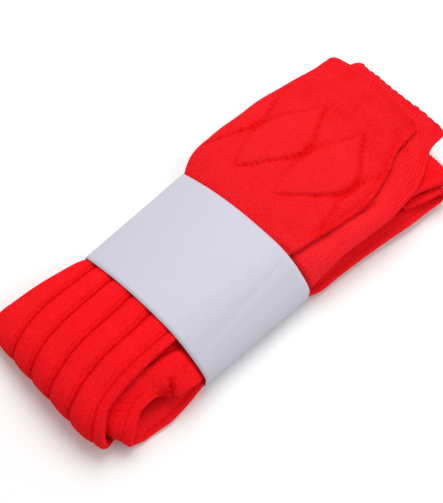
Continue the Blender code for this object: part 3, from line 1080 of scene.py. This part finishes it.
    def inner_rings(self) -> np.ndarray:
        """Makes the walls of the slit inside the tube.

        Returns:
            Its rings, from the last row back to the first.
        """
        last = len(self.rows) - 1
        rows = self.rows[np.unique([*range(0, last, self.inner_every), last])][::-1]
        flipped = Sense(-self.sense.value)
        face = self._surface(rows, self.face_count, flipped)
        back = self._surface(rows, self.back_count, flipped)
        half = self.slit(rows)[:, None] / 2
        over, under = half * np.ones(self.face_count), half * np.ones(self.back_count)
        return self._around(face, back, over, under)

    def build(self) -> bpy.types.Object:
        """Builds the piece and puts it in its node's place.

        Returns:
            The piece.
        """
        self.rows = self.make_rows()
        outer, cavity = self.outer_rings()
        inner = self.inner_rings()
        rings = np.concatenate([outer, inner])
        rings[..., 2] = np.maximum(rings[..., 2], 0.0)
        us = self.round_lengths(closed_round(rings))
        vs = walked(rings[:, rings.shape[1] // 4, None], 0)[:, 0]
        count = len(outer)
        length = vs[count - 1]
        vs[count:] = length * 2 - vs[count:]
        # The walls of the slit inside take an even painted shade.
        shades = np.concatenate([cavity, np.full(inner.shape[:2], self.inner_painted_shade)])
        piece = RingMesh(rings, us, vs, shades).make(self.name, self.finish, loop=True, caps=False)
        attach(piece, "root")
        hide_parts(self.node)
        around = us[:count, -1]
        log.info(
            "%s: %d faces, %.0f mm along, %.0f to %.0f mm round",
            self.name, len(piece.data.polygons), length, around.min(), around.max(),
        )
        return piece


@dataclass(kw_only=True)
class Leg(PressedTube):
    """The leg and heel of a sock, from under its cuff round both folds, in broad flat ribs.

    groove_shifts moves each groove towards the near side on the top arm. under_strength is the
    grooves' share below, and near_groove that of the groove at the near edge, which plain_near
    nearly leaves out beside the band. The back has back_share of the ribs, moved by back_shift.
    opened is how far the heel's fold stands open, and thin_lip how much thinner the back is at the
    near edge of the left fold. wale is the pitch of the stitch columns that show at the heel.
    """

    top: np.ndarray
    left_fold: Fold
    bottom: tuple[Section, ...]
    right_fold: Fold
    back: tuple[Section, ...]
    left_steps: int = 44
    right_steps: int = 26
    groove_depth: float = 1.05
    # Painted shade in the grooves.
    groove_dark: float = 0.95
    groove_shifts: tuple[float, ...] = (0.0,) * GROOVE_COUNT
    under_strength: float = 0.45
    near_groove: float = 0.65
    plain_near: bool = False
    opened: float = 0.0
    back_shift: float = 0.0
    thin_lip: float = 0.0
    # Painted light on the edges of the rows at the left fold's lip.
    lip_light: float = 0.13
    back_share: float = 0.6
    # Painted light over the whole back, and more on the back past the band.
    back_light: float = 0.22
    beyond_light: float = 0.2
    wale: float = 2.5
    wale_depth: float = 0.4
    # Painted shade between the heel's stitch columns, and painted light over the heel.
    wale_dark: float = 0.42
    wale_light: float = 0.16
    sway: float = 0.3
    strength: np.ndarray = field(init=False)
    near_strength: np.ndarray = field(init=False)
    opening: np.ndarray = field(init=False)
    lip: np.ndarray = field(init=False)
    wales: np.ndarray = field(init=False)
    on_top: np.ndarray = field(init=False)
    shifted: np.ndarray = field(init=False)

    def make_rows(self) -> np.ndarray:
        """Lays out the top arm, left fold, bottom arm, right fold and heel.

        Returns:
            The rows. What each of them shows of the ribs is set too.
        """
        top = arm_rows(self.top, self.step, away=True)
        bottom = arm_rows(table_values(self.bottom), self.step, away=False)
        back = arm_rows(table_values(self.back), self.step, away=True)
        left = fold_rows(top[-1], self.left_fold, bottom[0], self.left_steps)
        right = fold_rows(bottom[-1], self.right_fold, back[0], self.right_steps)
        parts = (top, left, bottom, right, back)
        self._set_shares(parts)
        joints = len(top) - 1, len(top) + len(left)
        return eased(np.vstack(parts), joints, 4)

    def _set_shares(self, parts: tuple[np.ndarray, ...]) -> None:
        """Sets what each row shows of the ribs, the creases and the openings.

        Args:
            parts: the rows of the five parts.
        """
        top, left, bottom, _, back = (part[:, X] for part in parts)
        around = np.linspace(0, 1, len(left))
        at_band = ramp(top, BAND_LEFT - 14.0, BAND_LEFT)
        weaker = (1.0 - self.under_strength) * ramp(around, 0.7, 1.0)
        round_left = 1.0 + 0.1 * np.sin(pi * around) - weaker
        below = self.under_strength
        self.strength = by_part(parts, 1.0 + 0.5 * at_band, round_left, below, 0.5, 0.5)
        near = [self.near_groove] * len(parts)
        if self.plain_near:
            bare, full = 0.12, 1.1
            towards_fold = bare + (self.near_groove - bare) * ramp(top, -98.0, -114.0)
            near = [towards_fold, self.near_groove, full, full, full]
        self.near_strength = by_part(parts, *near)
        self.on_top = by_part(parts, 1.0, 0.0, 0.0, 0.0, 0.0)
        faded = 1.0 - ramp(around, 0.0, 0.42)
        self.shifted = by_part(parts, 1.0 - 0.4 * at_band, faded, 0.0, 0.0, 0.0)
        self.wales = by_part(parts, 0.0, 0.0, ramp(bottom, 60.0, 110.0), 1.0, 1.0)
        open_below, open_above = ramp(bottom, 105.0, 130.0), ramp(back, 105.0, 130.0)
        self.opening = self.opened * by_part(parts, 0.0, 0.0, open_below, 1.0, open_above)
        lip_above, lip_below = ramp(top, -92.0, -108.0), ramp(bottom, -100.0, -116.0)
        self.lip = self.thin_lip * by_part(parts, lip_above, 1.0, lip_below, 0.0, 0.0)

    def crease_rows(self) -> np.ndarray:
        """Returns: 1 on the top arm, which alone has creases."""
        return self.on_top

    def edge_lights(self) -> np.ndarray:
        """Returns: how much painted light each row's edges take, most on the lip of a fold."""
        return self.edge_light + self.lip_light * self.lip

    def _grooves(self, points: np.ndarray, shift: float = 0.0) -> Pair:
        """The grooves between ribs, and the stitch columns of the heel.

        Args:
            points: points of a surface.
            shift: how far all grooves move towards the near side.

        Returns:
            The relief and the painted shading at each point.
        """
        apart = walked(points, 1) + shift
        near = self.near_strength[:, None]
        grooves = near * lines_at((NEAR_LINE,), apart - FIRST_GROOVE + WALL)
        for number, moved in enumerate(self.groove_shifts):
            place = FIRST_GROOVE - WALL + RIB_PITCH * number - moved * self.shifted[:, None]
            share = 1.0 if number else near
            grooves += share * lines_at(GROOVE_LINES, apart - place)
        depth, hollow = grooves
        strength, wales = self.strength[:, None], self.wales[:, None]
        column = wales * (0.5 - 0.5 * np.cos(2 * pi * apart / self.wale))
        # The grooves take painted shade, the gaps between the heel's columns too, and the heel
        # painted light.
        dark = self.groove_dark * hollow * np.minimum(strength, 1.2)
        relief = -self.groove_depth * depth * strength - self.wale_depth * column
        return relief, dark + self.wale_dark * column - self.wale_light * wales

    def face_relief(self, points: np.ndarray) -> Pair:
        """The ribs of the face, pressed in at the band's edge.

        Args:
            points: points of the face.

        Returns:
            The relief and the painted shading at each point.
        """
        relief, dark = self._grooves(points)
        x, y, z = np.moveaxis(points, -1, 0)
        top = self.on_top[:, None]
        at_band = top * under_paper(x)
        relief -= at_band * paper_press(y)
        relief += self.sway * top * (1 - at_band) * wander(points, 11, 28.0, 60.0)
        if self.plain_near:
            # A painted shadow beside the outer sock's fold, which lies on this one.
            cover = -35.0 - 13.0 * np.clip((27.0 - z) / 15.0, 0, 1)
            turned = ramp(x, -108.0, -122.0) * ramp(z, 2.0, 8.0)
            dark += 0.48 * turned * bell(y - cover, 2.8)
        return relief, dark

    def back_relief(self, points: np.ndarray) -> Pair:
        """The ribs of the back, which are shallower, and the opening inside a fold.

        Args:
            points: points of the back.

        Returns:
            The relief and the painted shading at each point.
        """
        relief, hollow = self._grooves(points, self.back_shift)
        inside = walked(points, 1)
        relief = self.back_share * relief - self.opening[:, None] * (1 - ramp(inside, 10.0, 22.0))
        relief -= self.lip[:, None] * (1 - ramp(inside, 2.0, 13.0))
        beyond = ramp(points[..., 0], BAND_RIGHT, BAND_RIGHT + 20.0)
        # Painted shade that grows deeper into the fold, away from the back's near edge.
        deep = 0.36 * ramp(inside, 6.0, 15.0) + 0.45 * ramp(inside, 11.0, 19.0)
        return relief, 0.7 * hollow - self.back_light - self.beyond_light * beyond + deep


@dataclass(kw_only=True)
class Cuff(PressedTube):
    """A cuff in a pattern of leaves, from under the band to its small-toothed open mouth.

    At the mouth, lobe is how far the far corner stands out, slant how far the near corner lies
    back, corner how far both are rounded, and open_slit how far it opens. tooth and tooth_reach are
    the teeth's pitch and height. half_round is the cloth's width across the face, and column that
    of a stitch column. thinned is how much thinner the near edge is, over edge_reach, and edge_dark
    how much painted shade it takes there. lightened is painted light that makes the cuff lighter,
    most on its half towards the band, rise is the leaves' height, and the valley, which takes
    painted shade, lies where two leaves come close.
    """

    table: np.ndarray
    lobe: float = 3.0
    slant: float = 0.0
    corner: float = 3.0
    leaves: tuple[Leaf, ...] = LEAVES
    half_round: float = 117.5
    column: float = 2.35
    column_strength: float = 1.0
    leaf_strength: float = 1.0
    lightened: float = 0.0
    thinned: float = 1.2
    edge_reach: float = 7.0
    tooth: float = 5.5
    tooth_reach: float = 1.3
    open_slit: float = 1.3
    edge_dark: float = 0.17
    rise: float = 2.1
    valley_depth: float = 1.3
    valley_dark: float = 0.5
    sway: float = 0.45
    hem: float = 0.4
    eyelet_pitch: float = 3.9
    seed: int = 3

    def make_rows(self) -> np.ndarray:
        """Lays out the cuff, with the corners of its mouth rounded.

        Returns:
            The rows, from the seam under the band to the mouth.
        """
        rows = arm_rows(self.table, self.step, away=False)
        x, mouth, radius = rows[:, X], rows[-1, X], 4.5
        rows[:, FAR_PULL] = self.lobe * ramp(x, mouth - 40.0, mouth)
        rounding = 1 - np.sqrt(1 - np.clip((x - mouth + radius) / radius, 0, 1) ** 2)
        rows[:, FAR] -= self.corner * rounding
        rows[:, NEAR] += 0.6 * self.corner * rounding
        return rows

    def middle(self, rows: np.ndarray, ys: np.ndarray) -> np.ndarray:
        """The middle surface, its mouth slanting back towards the near side.

        Args:
            rows: rows of the cuff.
            ys: Y of the points wanted in each row.

        Returns:
            The points.
        """
        points = middle_surface(rows, ys)
        mouth = self.table[-1, X]
        late = ramp(rows[:, X], mouth - 45.0, mouth)[:, None]
        points[..., 0] -= self.slant * late * np.clip((25.0 - ys) / 58.0, 0, 1) ** 1.3
        return points

    def slit(self, rows: np.ndarray) -> np.ndarray:
        """Returns: the slit, which widens to the open mouth."""
        return SLIT + self.open_slit * ramp(rows[:, X], self.rows[-1, X] - 30.0, self.rows[-1, X])

    @staticmethod
    def _leaf_lines(x: np.ndarray, leaf: Leaf) -> Pair:
        """Returns: the middle line and the half width of a leaf, in shares, at these X."""
        middle = np.interp(x, (45.0, 85.0, 127.0), (leaf.base, leaf.middle, leaf.tip))
        return middle, leaf.half * np.interp(x, LEAF_PROFILE[:, 0], LEAF_PROFILE[:, 1])

    def face_relief(self, points: np.ndarray) -> Pair:
        """Raised leaves, the eyelets round them and the columns between.

        Args:
            points: points of the face.

        Returns:
            The relief and the painted shading at each point.
        """
        x = self.rows[:, X, None]
        shares = np.linspace(0, 1, self.face_count)[None, :]
        width = (self.rows[:, FAR] - self.rows[:, NEAR] - FLAT)[:, None]
        relief, hollow, between = self._leaves(x, shares, width)

        patchy = 0.75 + 0.35 * wander(points, self.seed + 1, 9.0, 30.0)
        fine = self.column_strength * between * patchy
        towards = ramp(x, 100.0, 125.0)
        wave = np.cos(2 * pi * shares * self.half_round / self.column)
        relief += (0.2 + 0.12 * towards) * wave * fine
        # Painted shade between the stitch columns.
        hollow += (0.23 + 0.15 * towards) * (0.5 - 0.5 * wave) * fine

        past_band = 26.0
        from_near = shares * width
        relief *= ramp(np.minimum(shares, 1 - shares) * width, 0.0, 3.0)
        relief += self.sway * ramp(x, past_band, 45.0) * wander(points, self.seed, 22.0, 55.0)
        relief -= self.hem * bell(x - self.rows[-1, X] + 5.0, 1.1)
        thinned = self.thinned * ramp(x, past_band, 50.0)
        relief -= thinned * (1 - ramp(from_near, 0.0, self.edge_reach))
        # Painted shade on the thinned near edge.
        hollow += self.edge_dark * thinned * (1 - ramp(from_near, 0.0, 8.0))
        relief -= under_paper(x) * paper_press(points[..., 1])
        # Painted light over the cuff, most on its half towards the band.
        lighter = self.lightened * (1.0 - 0.9 * ramp(x, 75.0, 135.0))
        return relief, np.clip(hollow - lighter, -0.3, 0.8)

    def _leaves(
        self, x: np.ndarray, shares: np.ndarray, width: np.ndarray
    ) -> tuple[np.ndarray, np.ndarray, np.ndarray]:
        """Raises the leaves, with a sunk rim round each and a valley where two come close.

        Args:
            x: X of each row, as a column.
            shares: the share of the flat width at each place across.
            width: the flat width of each row, as a column.

        Returns:
            The relief, the painted shading, and how much of the stitch columns shows.
        """
        shape = len(x), shares.shape[1]
        relief, hollow, beside, valley = (np.zeros(shape) for _ in range(4))
        between = np.ones(shape)
        for number, leaf in enumerate(self.leaves):
            middle, half = self._leaf_lines(x, leaf)
            off = shares - middle
            edge = (np.abs(off) - half) * width
            inside = np.clip(1 - (off / np.maximum(half, 1e-4)) ** 2, 0, 1) * (half > 0.004)
            grown = ramp(half, 0.0, 0.03)
            present = self.leaf_strength * grown
            lower = np.where(off < 0, 1.0, 0.55)
            height = self.leaf_strength * self.rise * (half / leaf.half) ** 0.5
            rim = present * (lower * lines_at(LEAF_RIM, edge) + lines_at(LEAF_RIDGE, edge))
            rim += self._eyelets(x, shares, width, leaf, number)
            relief += height * inside**0.75 - rim[0]
            # The rims and eyelets give painted shade, the knots painted light.
            hollow += rim[1]
            close = present * bell(edge, 4.5)
            valley += close * beside
            beside = np.maximum(beside, close)
            between *= 1 - 0.8 * grown * ramp(edge, 1.5, -1.5)
        # Where two leaves come close, the valley sinks and takes painted shade.
        relief -= self.valley_depth * valley
        return relief, hollow + self.valley_dark * valley, between

    def _eyelets(
        self, x: np.ndarray, shares: np.ndarray, width: np.ndarray, leaf: Leaf, number: int
    ) -> np.ndarray:
        """Small uneven holes along both sides of a leaf, each with a knot beside it.

        Args:
            x: X of each row, as a column.
            shares: the share of the flat width at each place across.
            width: the flat width of each row, as a column.
            leaf: the leaf.
            number: which leaf it is, for the random draws.

        Returns:
            The depth and the painted shading at each point: painted shade in the holes, and painted
            light on the knots.
        """
        chance = np.random.default_rng(self.seed * 10 + number)
        fine = np.linspace(46.0, 126.5, 400)
        middle, half = self._leaf_lines(fine, leaf)
        widths = np.interp(fine, self.rows[:, X], width[:, 0])
        made = np.zeros((2, len(x), shares.shape[1]))
        reach = 4.0
        for side, strength in ((-1, 1.0), (1, leaf.upper)):
            edge = middle + side * half
            lengths = walked(np.stack([fine, edge * widths], axis=1)[:, None], 0)[:, 0]
            for at in np.arange(1.5, lengths[-1], self.eyelet_pitch):
                place = at + chance.uniform(-0.7, 0.7)
                size = self.leaf_strength * strength * chance.uniform(0.3, 1.1)
                radius = chance.uniform(1.0, 1.6)
                centre = np.interp(place, lengths, fine)
                share = np.interp(place, lengths, edge) + chance.uniform(-0.006, 0.006)
                rows = slice(*np.searchsorted(x[:, 0], (centre - reach, centre + reach)))
                along, aside = x[rows] - centre, (shares - share) * width[rows]
                hole = bell(np.hypot(along, aside), radius)
                knot = bell(np.hypot(along - 1.9, aside + 0.8 * side), 1.0)
                made[:, rows] += size * np.multiply.outer(HOLE, hole)
                made[:, rows] += size * np.multiply.outer(KNOT, knot)
        return made

    def finish_rings(self, rings: np.ndarray) -> np.ndarray:
        """Gives the mouth its small teeth.

        Args:
            rings: the outer rings.

        Returns:
            The rings, drawn out in teeth at the mouth.
        """
        x = self.rows[:, X]
        reach = ramp(x, x[-1] - 4.0, x[-1])[:, None]
        distance = walked(rings, 1)[-1]
        uneven = 0.75 + 0.25 * np.sin(distance / 6.1) * np.sin(distance / 2.3 + 1.0)
        tooth = np.abs(np.sin(pi * distance / self.tooth + 0.5 * np.sin(distance / 9.0))) ** 0.7
        rings[..., 0] += self.tooth_reach * reach * tooth * uneven
        return rings

    def round_lengths(self, closed: np.ndarray) -> np.ndarray:
        """Distances round the tube that keep each column of stitches on one line.

        Args:
            closed: the rings, each with its first point again at its end.

        Returns:
            Each point's distance.
        """
        lengths = walked(closed, 1)
        end = self.face_count - 1
        face = np.linspace(0, self.half_round, self.face_count)[:-1]
        rest = lengths[:, end:] - lengths[:, end, None]
        rest = self.half_round * (1 + rest / rest[:, -1:])
        return np.concatenate([np.tile(face, (len(lengths), 1)), rest], axis=1)


@dataclass
class FoldedFeet:
    """The two feet inside the pile: one rounded piece, notched round its edge between the layers.

    above holds the rows of the inner sock's top arm and of its cuff, and below those of its bottom
    arm. The piece keeps gap from both. edge is the edge's share of its half width.
    """

    above: Pair
    below: np.ndarray
    finish: bpy.types.Material
    toe: float = 40.0
    toe_rings: int = 24
    body_rings: int = 60
    count: int = 25
    gap: float = 1.0
    edge: float = 0.06
    notch: float = 1.6
    # An even painted shade over the whole piece.
    cavity: float = 0.1

    @staticmethod
    def _height(values: np.ndarray, x: float, ys: np.ndarray) -> Pair:
        """An arm's middle surface at one X.

        Args:
            values: the arm's rows.
            x: where.
            ys: Y of each point.

        Returns:
            Its height at each point, and how long the surface is for its length along Y.
        """
        points = middle_surface(rows_at(values, np.array([x])), ys[None, :])[0]
        slope = np.gradient(points[:, 2], points[:, 1])
        return points[:, 2], np.sqrt(1 + slope**2)

    def _edge_points(self, y: float, low: float, high: float, reach: float) -> np.ndarray:
        """Goes down one edge, over a lobe for each foot.

        Args:
            y: where the edge begins.
            low: Z of the floor there.
            high: Z of the roof there.
            reach: how far the lobes stand out, below 0 to the near side.

        Returns:
            Y and Z of each point.
        """
        notch = 1.0 - self.notch / max(abs(reach), self.notch)
        out = np.array((0.55, 0.85, 1.0, notch, 1.0, 0.85, 0.55))
        up = np.array((0.9, 0.78, 0.62, 0.5, 0.38, 0.22, 0.1))
        return np.stack([y + reach * out, low + (high - low) * up], axis=1)

    def _ring(self, x: float, far: float, near: float) -> np.ndarray:
        """Makes one ring of the piece, narrower and lower towards the toes.

        Args:
            x: where.
            far: the far edge of the feet there.
            near: the near edge.

        Returns:
            The ring's points: roof, far edge, floor and near edge.
        """
        share = min(1.0, (x - FEET_OUTLINE[0][0]) / self.toe)
        width = (1 - (1 - share) ** 2) ** 0.5
        half = (far - near) / 2 * width
        ys = (far + near) / 2 + half * (1 - self.edge) * np.linspace(-1, 1, self.count)
        roof, roof_slope = self._height(self.above[1] if x > LEG_END else self.above[0], x, ys)
        floor, floor_slope = self._height(self.below, x, ys)
        floor = floor + (WALL + self.gap) * floor_slope
        roof = roof - (WALL + self.gap) * roof_slope
        roof = floor + (roof - floor) * (0.55 + 0.45 * width)
        reach = half * self.edge
        ring = [
            np.stack([ys, roof], axis=1),
            self._edge_points(ys[-1], floor[-1], roof[-1], reach),
            np.stack([ys, floor], axis=1)[::-1],
            self._edge_points(ys[0], floor[0], roof[0], -reach)[::-1],
        ]
        return with_x(x, np.vstack(ring))

    def build(self) -> bpy.types.Object:
        """Builds the piece and puts it in its node's place.

        Returns:
            The piece.
        """
        table = np.array(FEET_OUTLINE)
        start, heel = table[0, 0], table[-1, 0]
        turns = np.linspace(0.12, 1, self.toe_rings) * pi / 2
        toes = start + self.toe * (1 - np.cos(turns))
        xs = np.concatenate([toes, np.linspace(start + self.toe + 3.0, heel, self.body_rings)])
        rings = np.array([self._ring(*row) for row in smooth(xs, table[:, 0], table)])
        around = walked(closed_round(rings), 1)
        mesh = RingMesh(rings, around, xs, np.full(rings.shape[:2], self.cavity))
        piece = mesh.make("hidden_feet", self.finish, loop=False, caps=True)
        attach(piece, "root")
        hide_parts("folded_feet")
        log.info("hidden_feet: %d faces", len(piece.data.polygons))
        return piece


@dataclass
class PaperBand:
    """The blank paper strip round the pile, a thin closed loop pulled taut.

    held are rings of all that it holds, read within reach of each of its edges. Its outline has so
    many sides, cut into facets of this length, and its upper corners are rounded over bend.
    """

    held: list[np.ndarray]
    finish: bpy.types.Material
    sides: int = 192
    reach: float = 1.6
    facet: float = 2.5
    steps: int = 30
    bend: float = 30.0
    bend_reach: float = 24.0
    samples: int = 21

    @staticmethod
    def _hull(points: np.ndarray) -> np.ndarray:
        """Finds the convex outline of points in a plane.

        Args:
            points: the points.

        Returns:
            Its corners, in order.
        """
        ordered = sorted(set(map(tuple, np.round(points, 4))))

        def half(sequence: Iterable[tuple[float, float]]) -> list[tuple[float, float]]:
            """Walks one side of the outline.

            Args:
                sequence: all points from one end to the other.

            Returns:
                The side's corners, without the last.
            """
            chain: list[tuple[float, float]] = []
            for x, y in sequence:
                while len(chain) > 1:
                    (ax, ay), (bx, by) = chain[-2:]
                    if (bx - ax) * (y - ay) - (by - ay) * (x - ax) > 0:
                        break
                    chain.pop()
                chain.append((x, y))
            return chain[:-1]

        return np.array(half(ordered) + half(reversed(ordered)))

    def _outline(self, x: float, out: float) -> np.ndarray:
        """Pulls the paper round the pile at one of the band's edges.

        Args:
            x: the edge.
            out: how far from the pile.

        Returns:
            The outline's corners.
        """
        rings = (ring for rings in self.held for ring in rings)
        near = [ring[:, 1:] for ring in rings if abs(ring[:, 0] - x).max() < self.reach]
        angles = np.linspace(0, 2 * pi, self.sides, endpoint=False)
        normals = np.stack([np.cos(angles), np.sin(angles)], axis=1)
        reach = (self._hull(np.vstack(near)) @ normals.T).max(axis=0) + out
        lines = np.stack([normals, np.roll(normals, -1, axis=0)], axis=1)
        ends = np.stack([reach, np.roll(reach, -1)], axis=1)[..., None]
        return np.linalg.solve(lines, ends)[..., 0]

    def _eased(self, outline: np.ndarray) -> np.ndarray:
        """Rounds off the upper corners, as paper goes over soft cloth.

        Args:
            outline: the outline's corners.

        Returns:
            The corners, moved.
        """
        turned = np.roll(outline, -1, axis=0) - np.roll(outline, 1, axis=0)
        up = np.clip(-unit(turned)[:, 0], 0, 1) * (1 - ramp(outline[:, 0], -32.0, -8.0))
        lengths = walked(np.vstack([outline, outline[:1]])[:, None], 0)[:, 0]
        starts, total = lengths[:-1], lengths[-1]
        places = np.concatenate([starts - total, starts, starts + total, [2 * total]])
        shares = np.linspace(-0.5, 0.5, self.samples)

        def averaged(values: np.ndarray, window: np.ndarray) -> np.ndarray:
            """Evens out values round the outline.

            Args:
                values: one for each corner.
                window: over what length, at each corner.

            Returns:
                Their averages.
            """
            looped = np.concatenate([values, values, values, values[:1]])
            reads = [np.interp(starts + window * share, places, looped) for share in shares]
            return np.mean(reads, axis=0)

        window = self.bend * averaged(up, np.full(len(up), self.bend_reach))
        return np.stack([averaged(column, window) for column in outline.T], axis=1)

    def build(self) -> bpy.types.Object:
        """Builds the band and puts it in its node's place.

        Returns:
            The piece.
        """
        edges = BAND_LEFT, BAND_RIGHT
        lengths = []
        for x in edges:
            outline = self._outline(x, CLEAR + PAPER)
            lengths.append(np.linalg.norm(np.roll(outline, -1, axis=0) - outline, axis=1))
        cuts = np.maximum(1, np.ceil(np.max(lengths, axis=0) / self.facet)).astype(int)
        shares = np.linspace(0, 1, self.steps)
        rings = []
        for out, order in ((CLEAR + PAPER, shares), (CLEAR, shares[::-1])):
            left, right = (self._eased(divided(self._outline(x, out), cuts)) for x in edges)
            for share in order:
                x = BAND_LEFT + (BAND_RIGHT - BAND_LEFT) * share
                rings.append(with_x(x, left + (right - left) * share))
        rings = np.array(rings)
        around = walked(closed_round(rings), 1)
        mesh = RingMesh(rings, around, rings[:, 0, 0], np.zeros(rings.shape[:2]))
        piece = mesh.make("band", self.finish, loop=True, caps=False)
        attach(piece, "root")
        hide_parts("paper_band")
        return piece


@dataclass(frozen=True)
class Studio:
    """The camera at the photograph's angle, a pale floor and soft light.

    Angles are in degrees. distance and target are in the tables' millimetres, and pixels is the
    scale at the target in photo pixels to the millimetre. The floor's sizes are in metres.
    """

    azimuth: float = -43.5
    elevation: float = 61.0
    distance: float = 650.0
    pixels: float = 1.5
    target: tuple[float, float, float] = (0.0, 0.0, 15.0)
    sensor: float = 36.0
    floor_half: float = 6.0
    floor_drop: float = 0.0003
    floor_grey: float = 0.86
    surround: float = 0.59

    def camera(self) -> bpy.types.Object:
        """Makes the camera and sets it as the scene's.

        Returns:
            The camera.
        """
        turn, tilt = radians(self.azimuth), radians(self.elevation)
        back = np.array([sin(turn) * cos(tilt), -cos(turn) * cos(tilt), sin(tilt)])
        right = np.array([cos(turn), sin(turn), 0.0])
        data = bpy.data.cameras.new("camera")
        data.sensor_fit = "HORIZONTAL"
        data.sensor_width = self.sensor
        data.lens = self.sensor * self.pixels * self.distance / IMAGE_WIDTH
        data.clip_start, data.clip_end = 0.01, 50.0
        data.dof.use_dof = False
        obj = linked("camera", data)
        place = (np.array(self.target) + back * self.distance - CENTRE) * MM
        axes = Matrix((right, np.cross(back, right), back)).transposed().to_4x4()
        obj.matrix_world = Matrix.Translation(Vector(place)) @ axes
        bpy.context.scene.camera = obj
        return obj

    def floor(self) -> bpy.types.Object:
        """Makes the pale floor.

        Returns:
            The floor.
        """
        material = bpy.data.materials.new("floor")
        material.use_nodes = True
        shader = material.node_tree.nodes["Principled BSDF"]
        shader.inputs["Base Color"].default_value = (*(self.floor_grey,) * 3, 1.0)
        shader.inputs["Roughness"].default_value = 1.0
        shader.inputs["Specular IOR Level"].default_value = 0.0
        half = self.floor_half
        corners = [(-half, -half, 0), (half, -half, 0), (half, half, 0), (-half, half, 0)]
        mesh = bpy.data.meshes.new("floor")
        mesh.from_pydata(corners, [], [(0, 1, 2, 3)])
        mesh.materials.append(material)
        obj = linked("floor", mesh)
        obj.location.z = -self.floor_drop
        return obj

    def lights(self) -> None:
        """Makes the lamps and an even white surround."""
        for lamp in LAMPS:
            data = bpy.data.lights.new(lamp.name, "AREA")
            data.shape, data.size, data.energy = "DISK", lamp.size, lamp.power
            obj = linked(lamp.name, data)
            obj.location = lamp.place
            obj.rotation_euler = (-Vector(lamp.place)).to_track_quat("-Z", "Y").to_euler()
        world = bpy.data.worlds.new("surround")
        world.use_nodes = True
        background = world.node_tree.nodes["Background"]
        background.inputs["Color"].default_value = (1.0, 1.0, 1.0, 1.0)
        background.inputs["Strength"].default_value = self.surround
        bpy.context.scene.world = world
        bpy.context.scene.view_settings.view_transform = "Standard"


def main() -> None:
    """Builds the socks, the band and the studio."""
    logging.basicConfig(level=logging.INFO, format="%(name)s: %(message)s")
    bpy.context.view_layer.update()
    studio = Studio()
    studio.camera()
    studio.floor()
    studio.lights()

    ribbed, patterned = knit_material(LEG_KNIT), knit_material(CUFF_KNIT)
    paper = paper_material(BAND_PAPER)
    outer_top, outer_mouth = under_band(OUTER_TOP, OUTER_CUFF)
    inner_top, inner_mouth = under_band(INNER_TOP, INNER_CUFF)
    outer_leg = Leg(
        "outer_leg", "outer_sock", ribbed, (0.21, 0.51), ("floor",),
        top=outer_top, left_fold=LEFT_OUTER_FOLD, bottom=OUTER_BOTTOM,
        right_fold=RIGHT_OUTER_FOLD, back=OUTER_RETURN, edge_light=0.12,
        groove_shifts=(0.9, 3.9, 4.7, 3.4, 2.9),
    )
    inner_leg = Leg(
        "inner_leg", "inner_sock", ribbed, (0.21, 0.48), ("outer_leg",),
        top=inner_top, left_fold=LEFT_INNER_FOLD, bottom=INNER_BOTTOM,
        right_fold=RIGHT_INNER_FOLD, back=INNER_RETURN, edge_light=0.2, creases=PINCH,
        under_strength=0.8, near_groove=0.4, plain_near=True, opened=1.4, back_shift=2.8,
        thin_lip=2.0,
    )
    outer_cuff = Cuff(
        "outer_cuff_cloth", "outer_cuff", patterned, (0.23, 0.19), ("inner_cuff_cloth",),
        step=0.9, face_count=230, sense=Sense.TO_MOUTH, table=outer_mouth,
        slant=8.0, tooth_reach=0.4, thinned=2.2, edge_reach=15.0,
    )
    inner_cuff = Cuff(
        "inner_cuff_cloth", "inner_cuff", patterned, (0.23, 0.198), ("outer_leg",),
        step=0.9, face_count=230, sense=Sense.TO_MOUTH, table=inner_mouth,
        lobe=7.0, corner=4.5, tooth=7.2, leaf_strength=0.35, seed=5, half_round=98.7,
        column_strength=0.95, lightened=0.36,
    )
    pieces = [outer_leg, inner_leg, outer_cuff, inner_cuff]
    for piece in pieces:
        piece.build()
    FoldedFeet((inner_top, inner_mouth), table_values(INNER_BOTTOM), ribbed).build()
    PaperBand([piece.held_rings() for piece in pieces], paper).build()


if __name__ == "__main__":
    main()
